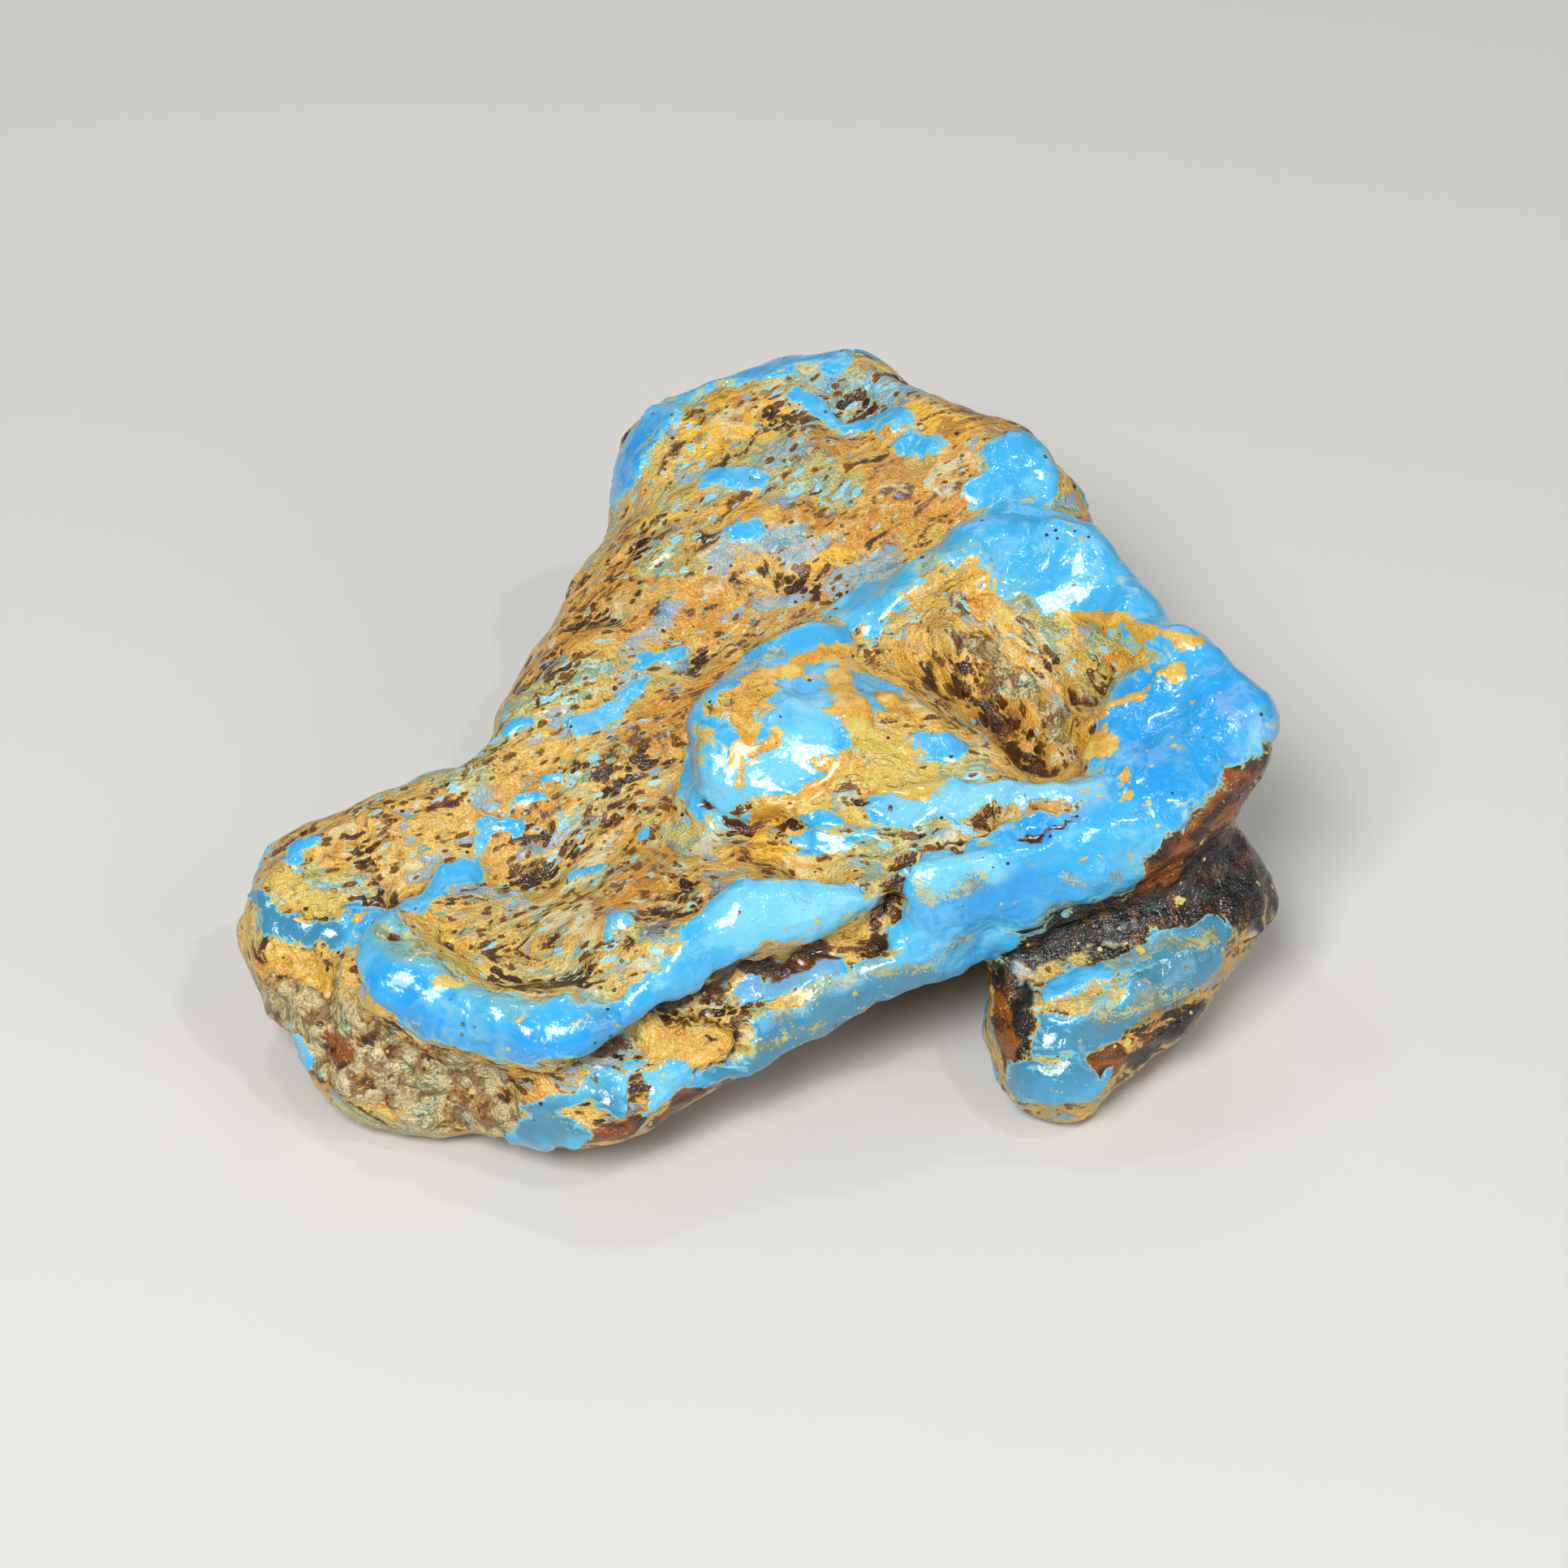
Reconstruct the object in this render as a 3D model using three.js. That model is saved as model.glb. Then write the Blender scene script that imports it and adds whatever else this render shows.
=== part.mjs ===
// Rough blue amber: one natural nugget, in millimetres, +Z up.
//
// The nugget is a tilted plate of resin, about 10 mm thick, low at its front left and high at its back
// right. It rests on the underside of its low front edge, on a knob that hangs below its front right
// corner, and on the broad lump below its back. Between these three an open hollow runs under the plate.
//
// The shape is a solid field: a function that is negative inside the stone and positive outside. The
// stone's skin is where it is zero, and a grid of cells finds that skin. X is the stone's length, +Y
// points from its thin front edge to its back, and the origin is the middle of its foot print.

import * as THREE from "three";
import { ImprovedNoise } from "three/addons/math/ImprovedNoise.js";

// Driving dimensions.
const CELL = 1.35; // edge of a grid cell, so the size of a facet
const SEARCH = { low: [-34, -31, -8], high: [34, 34, 29] }; // the block of space that the grid fills
const PLATE = {
  top: 16.6, // height of the plate's tilted upper face above the origin
  riseX: 0.13, // its slope towards +X
  riseY: 0.17, // its slope towards +Y
  thickLeft: 12, // thickness at the left end
  thickRight: 6.8, // thickness at the right end
  halfLength: 29.5,
  rim: 4.2, // radius of the rounded rim
  tipFrom: -22, // the underside rises from here to the left tip
  tipRise: 0.45, // slope of that rise
};

// The plate seen from above, as the corners that its outline bends at.
const PLATE_OUTLINE = [
  [-29, -13], [-28.6, -8.2], [-24.8, -4.8], [-20.2, -3.2], [-16.4, -1.8], [-15.4, 3.2], [-12, 8.6],
  [-10, 14.2], [-9.2, 20], [-6.8, 24.8], [-2.4, 26], [2.2, 28.2], [7, 26.4], [11.2, 23], [15.6, 20], [19, 15.4],
  [19.8, 9], [23.8, 2.6], [27, -3.2], [28.8, -5.8], [27.4, -9.6], [23, -13], [16, -15.4], [8, -17.2],
  [1, -20], [-5.4, -23.2], [-11, -25], [-17, -22.6], [-22.6, -21.4], [-26, -17.8],
];

// Egg-shaped lumps that make the boulder below the back of the plate, which stands on the ground.
const BOULDER = [
  { at: [6, 13, 6.4], radii: [12, 10.5, 7.4] },
  { at: [14, 2, 7.4], radii: [7.6, 9, 6.6] },
  { at: [-1, 18, 10], radii: [7, 8, 7] },
  { at: [19, -4, 9.6], radii: [6, 6, 5] },
];

// Egg-shaped lumps that make the knob below the front right corner.
const KNOB = [
  { at: [22.6, -9, 7.8], radii: [6.2, 6.6, 6] },
  { at: [21.4, -13.6, 5.4], radii: [4.6, 4.6, 4] },
  { at: [17.2, -16, 4], radii: [4.4, 5.8, 5.2] },
];

// The folds of the skin: each swells it by a height along a line of points, or sinks it where the
// height is below zero, and fades over its width. A fold with one point is a dome or a pit.
const FOLDS = [
  // The smooth dome in the middle, and the smaller one at its right.
  { path: [[1, -6, 18]], height: 2.6, width: 5 },
  { path: [[8.5, -6.5, 17.5]], height: 1.2, width: 3.5 },
  // The horseshoe ridge: from the dome, round behind the ravine, to the right corner.
  {
    path: [
      [-3.5, -7.5, 16.5], [-2.5, -3, 17.5], [1, 0.5, 18], [5.5, 2, 19], [9, 4.5, 20], [13, 7.5, 21],
      [17.5, 8, 21.5], [21, 5, 21], [24, 0, 20.5], [28, -6, 19],
    ],
    height: 1.4,
    width: 2.6,
  },
  // The ravine inside the horseshoe, its cleft, and the dark pit beside the cleft.
  { path: [[15, -1, 18]], height: -2.8, width: 4.5 },
  {
    path: [[7, 1, 19], [9.5, 0.3, 18], [12, -0.5, 17], [14, -2, 16], [15.5, -5, 16], [16.5, -8, 16.5]],
    height: -2.4,
    width: 2,
  },
  { path: [[18.5, -1.5, 17]], height: -1.5, width: 1.7 },
  // The furrow behind the dome and the ridge.
  {
    path: [
      [-5.5, -7, 15.5], [-4.5, -2, 16.5], [-0.5, 2.8, 17.6], [4, 4.8, 18.6], [8.5, 9, 19.8], [15, 12, 22],
    ],
    height: -1.7,
    width: 2,
  },
  // The fibrous valley at the left, and the seam that runs along it.
  { path: [[-14, -15, 12.5], [-10.5, -11, 12], [-6.5, -9, 13.5]], height: -1.8, width: 4 },
  { path: [[-24, -17, 11], [-21.5, -14.5, 12], [-19, -12, 12], [-13.6, -6.8, 13]], height: -1.4, width: 1.8 },
  // The thick lip of the front left rim, and the rough face that is set back below it.
  {
    path: [
      [-20.3, -14.5, 12.5], [-22.3, -17.5, 11], [-20, -20, 10.5], [-17.5, -21.5, 9.8], [-13, -23.4, 10],
      [-9, -24, 10], [-6, -22, 10.6],
    ],
    height: 1.5,
    width: 1.9,
  },
  {
    path: [[-25, -16, 9.5], [-23, -20.5, 8], [-19, -23, 7], [-14, -25, 7], [-10, -26.4, 7.4]],
    height: -1.6,
    width: 1.8,
  },
  // The rolls of the front rim, the crevice below them, and the band below the crevice.
  { path: [[-5, -19.5, 13], [-1, -18, 14], [4, -17, 13.5]], height: 1.2, width: 2.4 },
  { path: [[8, -16, 14], [12, -15, 15], [15.5, -13.5, 15.5], [24, -11.5, 15.5]], height: 1, width: 2.4 },
  {
    path: [[-10, -25.4, 8.6], [-6.5, -23.4, 9.6], [-2.3, -21.4, 10.6], [1, -20, 11.2], [7.5, -17.4, 13]],
    height: -2.2,
    width: 1.4,
  },
  {
    path: [[-7.5, -24.5, 5], [0, -20.5, 6.6], [5, -18.6, 7.4], [9.5, -17.4, 8.2], [14, -16.4, 9.6]],
    height: 1.2,
    width: 2.2,
  },
  // The wrinkled crevice between the dome and the front rolls.
  { path: [[0, -13, 16], [3, -14.2, 15], [9.5, -13.9, 16], [12.6, -12.5, 16.5]], height: -1.2, width: 1.5 },
  // The crease between the plate and the knob, and the two waists of the knob.
  {
    path: [[13, -17, 10], [19, -16.5, 10.4], [24, -14.5, 11.2], [29, -10, 12.4], [30, -5, 12]],
    height: -1.6,
    width: 2,
  },
  { path: [[12.6, -19, 7], [17.5, -21.5, 7], [23, -18.6, 6.4], [27.6, -13, 6.6]], height: -0.7, width: 1.4 },
  // The streaked folds of the left flank.
  { path: [[-14, -1, 14], [-9, 4, 17], [-4, 8.5, 18], [0, 11.5, 19.5]], height: 0.8, width: 1.9 },
  { path: [[-12.5, -4.5, 14], [-7, 0, 16.5], [-1, 5.5, 17.8], [5, 9.5, 19]], height: -0.8, width: 1.7 },
  { path: [[-9, 8, 17.5], [-4, 13, 19], [2, 17, 20.5]], height: 0.8, width: 1.9 },
  // The bumps and the pit of the back edge.
  { path: [[-1.6, 20.5, 20]], height: 1.2, width: 2.8 },
  { path: [[5.5, 20.5, 21]], height: -1.4, width: 2 },
  { path: [[16, 14, 21.5]], height: 0.9, width: 3 },
  // The grooves round the boulder's back and right, and the keel below the left flank.
  { path: [[-6, 20, 10], [0, 24, 11], [9, 23, 12], [16, 17, 12]], height: -1.2, width: 2.2 },
  { path: [[20, 11, 11], [24, 3, 10]], height: -1, width: 2 },
  { path: [[-18, -14, 3], [-8, -4, 4], [0, 2, 5]], height: 0.9, width: 2.4 },
];

// Low lumps all over the skin, from one noise as wide as a fingertip and one half as wide.
const LUMPS = [
  { width: 7, height: 0.8, shift: 5 },
  { width: 3.5, height: 0.45, shift: 0 },
];

// How wide the fillets are where shapes run together.
const BLEND = { boulderLumps: 4, boulderToPlate: 4, knobLumps: 3, knobToPlate: 2.5 };

const MATERIAL = {
  name: "waxy blue amber with ochre crust",
  color: 0x3f8fc8,
  roughness: 0.35,
  metalness: 0,
};

const { clamp, lerp } = THREE.MathUtils;
const AXES = [[1, 0, 0], [0, 1, 0], [0, 0, 1]];

// Where along a line from a to b, from 0 to 1, the point nearest to p lies.
function nearestShare(p, a, b) {
  const along = new THREE.Vector3().subVectors(b, a);
  return clamp(new THREE.Vector3().subVectors(p, a).dot(along) / along.lengthSq(), 0, 1);
}

// Distance from a point to a line of points.
function pathDistance(path, p) {
  let nearest = p.distanceTo(path[0]);
  for (let i = 1; i < path.length; i++) {
    const foot = new THREE.Vector3().lerpVectors(path[i - 1], path[i], nearestShare(p, path[i - 1], path[i]));
    nearest = Math.min(nearest, p.distanceTo(foot));
  }
  return nearest;
}

// Distance in plan from a point to a closed outline, negative inside it.
function outlineDistance(outline, p) {
  let inside = false;
  for (let i = 1; i < outline.length; i++) {
    const a = outline[i - 1];
    const b = outline[i];
    const crosses = a.y > p.y !== b.y > p.y && p.x < lerp(a.x, b.x, (p.y - a.y) / (b.y - a.y));
    if (crosses) inside = !inside;
  }
  const distance = pathDistance(outline, new THREE.Vector3(p.x, p.y, 0));
  return inside ? -distance : distance;
}

// A closed smooth curve through corners, as points about half a cell apart.
function smoothOutline(corners) {
  const points = corners.map(([x, y]) => new THREE.Vector3(x, y, 0));
  const curve = new THREE.CatmullRomCurve3(points, true, "centripetal");
  return curve.getPoints(Math.round(curve.getLength() / (CELL / 2)));
}

const plateOutline = smoothOutline(PLATE_OUTLINE);
const folds = FOLDS.map((fold) => ({ ...fold, path: fold.path.map((point) => new THREE.Vector3(...point)) }));
const noise = new ImprovedNoise();

// Two solids joined with a fillet about as wide as the blend.
function blendJoin(a, b, blend) {
  const share = clamp(0.5 + (0.5 * (b - a)) / blend, 0, 1);
  return lerp(b, a, share) - blend * share * (1 - share);
}

// An egg-shaped solid, as a field that is close to the distance near its skin.
function egg({ at, radii }, p) {
  const centre = new THREE.Vector3(...at);
  const radius = new THREE.Vector3(...radii);
  const scaled = new THREE.Vector3().subVectors(p, centre).divide(radius);
  const steepness = scaled.clone().divide(radius).length();
  const reach = scaled.length();
  return steepness > 0 ? (reach * (reach - 1)) / steepness : -Math.min(...radii);
}

// Egg-shaped lumps run together.
function cluster(lumps, blend, p) {
  return lumps.map((lump) => egg(lump, p)).reduce((a, b) => blendJoin(a, b, blend));
}

// The tilted plate: the space inside its outline and between its two faces, with a rounded rim.
function plate(p) {
  const upper = PLATE.top + PLATE.riseX * p.x + PLATE.riseY * p.y;
  const along = clamp((p.x + PLATE.halfLength) / (2 * PLATE.halfLength), 0, 1);
  const thick = lerp(PLATE.thickLeft, PLATE.thickRight, along);
  const lower = upper - thick + PLATE.tipRise * Math.max(0, PLATE.tipFrom - p.x);
  const side = outlineDistance(plateOutline, p) + PLATE.rim;
  const above = Math.max(p.z - upper, lower - p.z) + PLATE.rim;
  return Math.hypot(Math.max(side, 0), Math.max(above, 0)) + Math.min(Math.max(side, above), 0) - PLATE.rim;
}

// The whole stone: negative inside it, positive outside, zero on its skin.
function stone(p) {
  let field = blendJoin(plate(p), cluster(BOULDER, BLEND.boulderLumps, p), BLEND.boulderToPlate);
  field = blendJoin(field, cluster(KNOB, BLEND.knobLumps, p), BLEND.knobToPlate);
  for (const { path, height, width } of folds)
    field -= height * Math.exp(-((pathDistance(path, p) / width) ** 2));
  for (const { width, height, shift } of LUMPS)
    field -= height * noise.noise(p.x / width, p.y / width, p.z / width + shift);
  return field;
}

// Moves a point along the field's slope until it lies on the skin.
function pullToSkin(p) {
  const reach = 0.05;
  const passes = 4;
  for (let pass = 0; pass < passes; pass++) {
    const slopes = AXES.map((axis) => {
      const step = new THREE.Vector3(...axis).multiplyScalar(reach);
      return (stone(p.clone().add(step)) - stone(p.clone().sub(step))) / (2 * reach);
    });
    const slope = new THREE.Vector3(...slopes);
    const move = clamp(stone(p), -CELL / 2, CELL / 2) / Math.max(slope.lengthSq(), 0.25);
    p.addScaledVector(slope, -move);
  }
  return p;
}

const plus = (a, b) => a.map((n, axis) => n + b[axis]);
const minus = (a, b) => a.map((n, axis) => n - b[axis]);

// Every whole-number place from low up to, but not including, high.
function* places(low, high) {
  for (let k = low[2]; k < high[2]; k++)
    for (let j = low[1]; j < high[1]; j++)
      for (let i = low[0]; i < high[0]; i++) yield [i, j, k];
}

// The field at every corner of the grid.
function sampleGrid() {
  const size = minus(SEARCH.high, SEARCH.low).map((length) => Math.ceil(length / CELL) + 1);
  const at = ([i, j, k]) => (k * size[1] + j) * size[0] + i;
  const value = new Float64Array(size[0] * size[1] * size[2]);
  for (const place of places([0, 0, 0], size)) {
    const corner = plus(SEARCH.low, place.map((n) => n * CELL));
    value[at(place)] = stone(new THREE.Vector3(...corner));
  }
  return { size, at, value };
}

// Fills an outside corner of each grid square whose inside corners are diagonal to each other, so that
// no edge is shared by two sheets of the skin.
function separateSheets({ size, at, value }) {
  const filled = -CELL / 100;
  const outside = (corner) => value[corner] >= 0;
  let found = true;
  while (found) {
    found = false;
    for (const place of places([0, 0, 0], plus(size, [-1, -1, -1])))
      for (let axis = 0; axis < 3; axis++) {
        const across = AXES[axis];
        const up = AXES[(axis + 1) % 3];
        const ring = [place, plus(place, across), plus(plus(place, across), up), plus(place, up)].map(at);
        const pattern = ring.map(outside);
        if (pattern[0] !== pattern[2] || pattern[1] !== pattern[3] || pattern[0] === pattern[1]) continue;
        const open = ring.filter(outside);
        value[value[open[0]] < value[open[1]] ? open[0] : open[1]] = filled;
        found = true;
      }
  }
}

// One point on the skin for each cell that the skin crosses, with a map from the cell to the point.
// What would reach below the ground is worn flat at it.
function skinPoints({ size, at, value }) {
  const corners = [...places([0, 0, 0], [2, 2, 2])];
  const edges = AXES.flatMap((axis, n) => corners.filter((c) => !c[n]).map((c) => [c, plus(c, axis)]));
  const points = [];
  const pointOf = new Map();
  for (const place of places([0, 0, 0], plus(size, [-1, -1, -1]))) {
    const middle = new THREE.Vector3();
    let crossings = 0;
    for (const [a, b] of edges) {
      const start = value[at(plus(place, a))];
      const end = value[at(plus(place, b))];
      if (start < 0 === end < 0) continue;
      const crossing = new THREE.Vector3().lerpVectors(
        new THREE.Vector3(...a), new THREE.Vector3(...b), start / (start - end),
      );
      middle.add(crossing);
      crossings++;
    }
    if (!crossings) continue;
    middle.divideScalar(crossings).add(new THREE.Vector3(...place)).multiplyScalar(CELL);
    const point = pullToSkin(middle.add(new THREE.Vector3(...SEARCH.low)));
    point.z = Math.max(point.z, 0);
    pointOf.set(at(place), points.length);
    points.push(point);
  }
  return { points, pointOf };
}

// Two triangles for each grid edge that the skin crosses, from the points of the four cells round the
// edge, split along the shorter diagonal and facing out.
function skinTriangles({ size, at, value }, { points, pointOf }) {
  const triangles = [];
  for (const place of places([1, 1, 1], plus(size, [-1, -1, -1])))
    for (let axis = 0; axis < 3; axis++) {
      const starts = value[at(place)] < 0;
      const ends = value[at(plus(place, AXES[axis]))] < 0;
      if (starts === ends) continue;
      const across = minus(place, AXES[(axis + 1) % 3]);
      const up = AXES[(axis + 2) % 3];
      const ring = [place, across, minus(across, up), minus(place, up)].map((cell) => pointOf.get(at(cell)));
      const [a, b, c, d] = starts ? ring : ring.reverse();
      const first = points[a].distanceTo(points[c]) < points[b].distanceTo(points[d]);
      triangles.push(...(first ? [a, b, c, a, c, d] : [a, b, d, b, c, d]));
    }
  return triangles;
}

// The stone's skin as one closed geometry, centred in plan on the origin and standing on the ground.
function nuggetGeometry() {
  const grid = sampleGrid();
  separateSheets(grid);
  const skin = skinPoints(grid);
  const geometry = new THREE.BufferGeometry().setFromPoints(skin.points);
  geometry.setIndex(skinTriangles(grid, skin));
  geometry.computeBoundingBox();
  const middle = geometry.boundingBox.getCenter(new THREE.Vector3());
  geometry.translate(-middle.x, -middle.y, 0);
  geometry.computeVertexNormals();
  return geometry;
}

const nugget = new THREE.Mesh(nuggetGeometry(), new THREE.MeshStandardMaterial(MATERIAL));
nugget.name = "amber_nugget";

const group = new THREE.Group();
group.add(nugget);

export default group;
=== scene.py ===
"""The finished look of a rough blue amber nugget, on a pale floor in soft studio light.

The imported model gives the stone's form. Here its skin is made finer, given the relief of wax, fibres and
clefts, and finished as opaque blue resin under an ochre crust. Lengths in the tables are in mm.
"""

import math
from itertools import product

import bmesh
import bpy
import numpy as np
from bpy.props import FloatProperty, FloatVectorProperty, IntProperty, PointerProperty
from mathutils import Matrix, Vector


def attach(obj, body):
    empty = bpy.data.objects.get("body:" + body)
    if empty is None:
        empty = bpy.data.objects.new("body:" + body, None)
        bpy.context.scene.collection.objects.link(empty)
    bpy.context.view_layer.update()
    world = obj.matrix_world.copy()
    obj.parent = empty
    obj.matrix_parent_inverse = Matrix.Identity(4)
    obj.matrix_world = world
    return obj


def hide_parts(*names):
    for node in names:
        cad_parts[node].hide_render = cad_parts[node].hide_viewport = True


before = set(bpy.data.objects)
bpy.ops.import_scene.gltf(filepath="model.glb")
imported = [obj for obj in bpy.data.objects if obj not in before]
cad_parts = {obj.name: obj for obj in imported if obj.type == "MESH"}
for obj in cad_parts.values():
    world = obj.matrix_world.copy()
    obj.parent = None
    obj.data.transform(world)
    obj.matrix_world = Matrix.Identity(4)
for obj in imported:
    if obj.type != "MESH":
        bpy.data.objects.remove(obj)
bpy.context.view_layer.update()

bl_info = {
    "name": "Rough blue amber nugget",
    "version": (1, 0, 0),
    "blender": (4, 5, 0),
    "location": "View3D > Sidebar > Amber",
    "description": "Dresses the packed nugget as waxy blue amber in its ochre crust",
    "category": "Add Mesh",
}

STONE = "amber_nugget"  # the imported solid, which is also its only node
MM = 0.001  # metres in a millimetre

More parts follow.
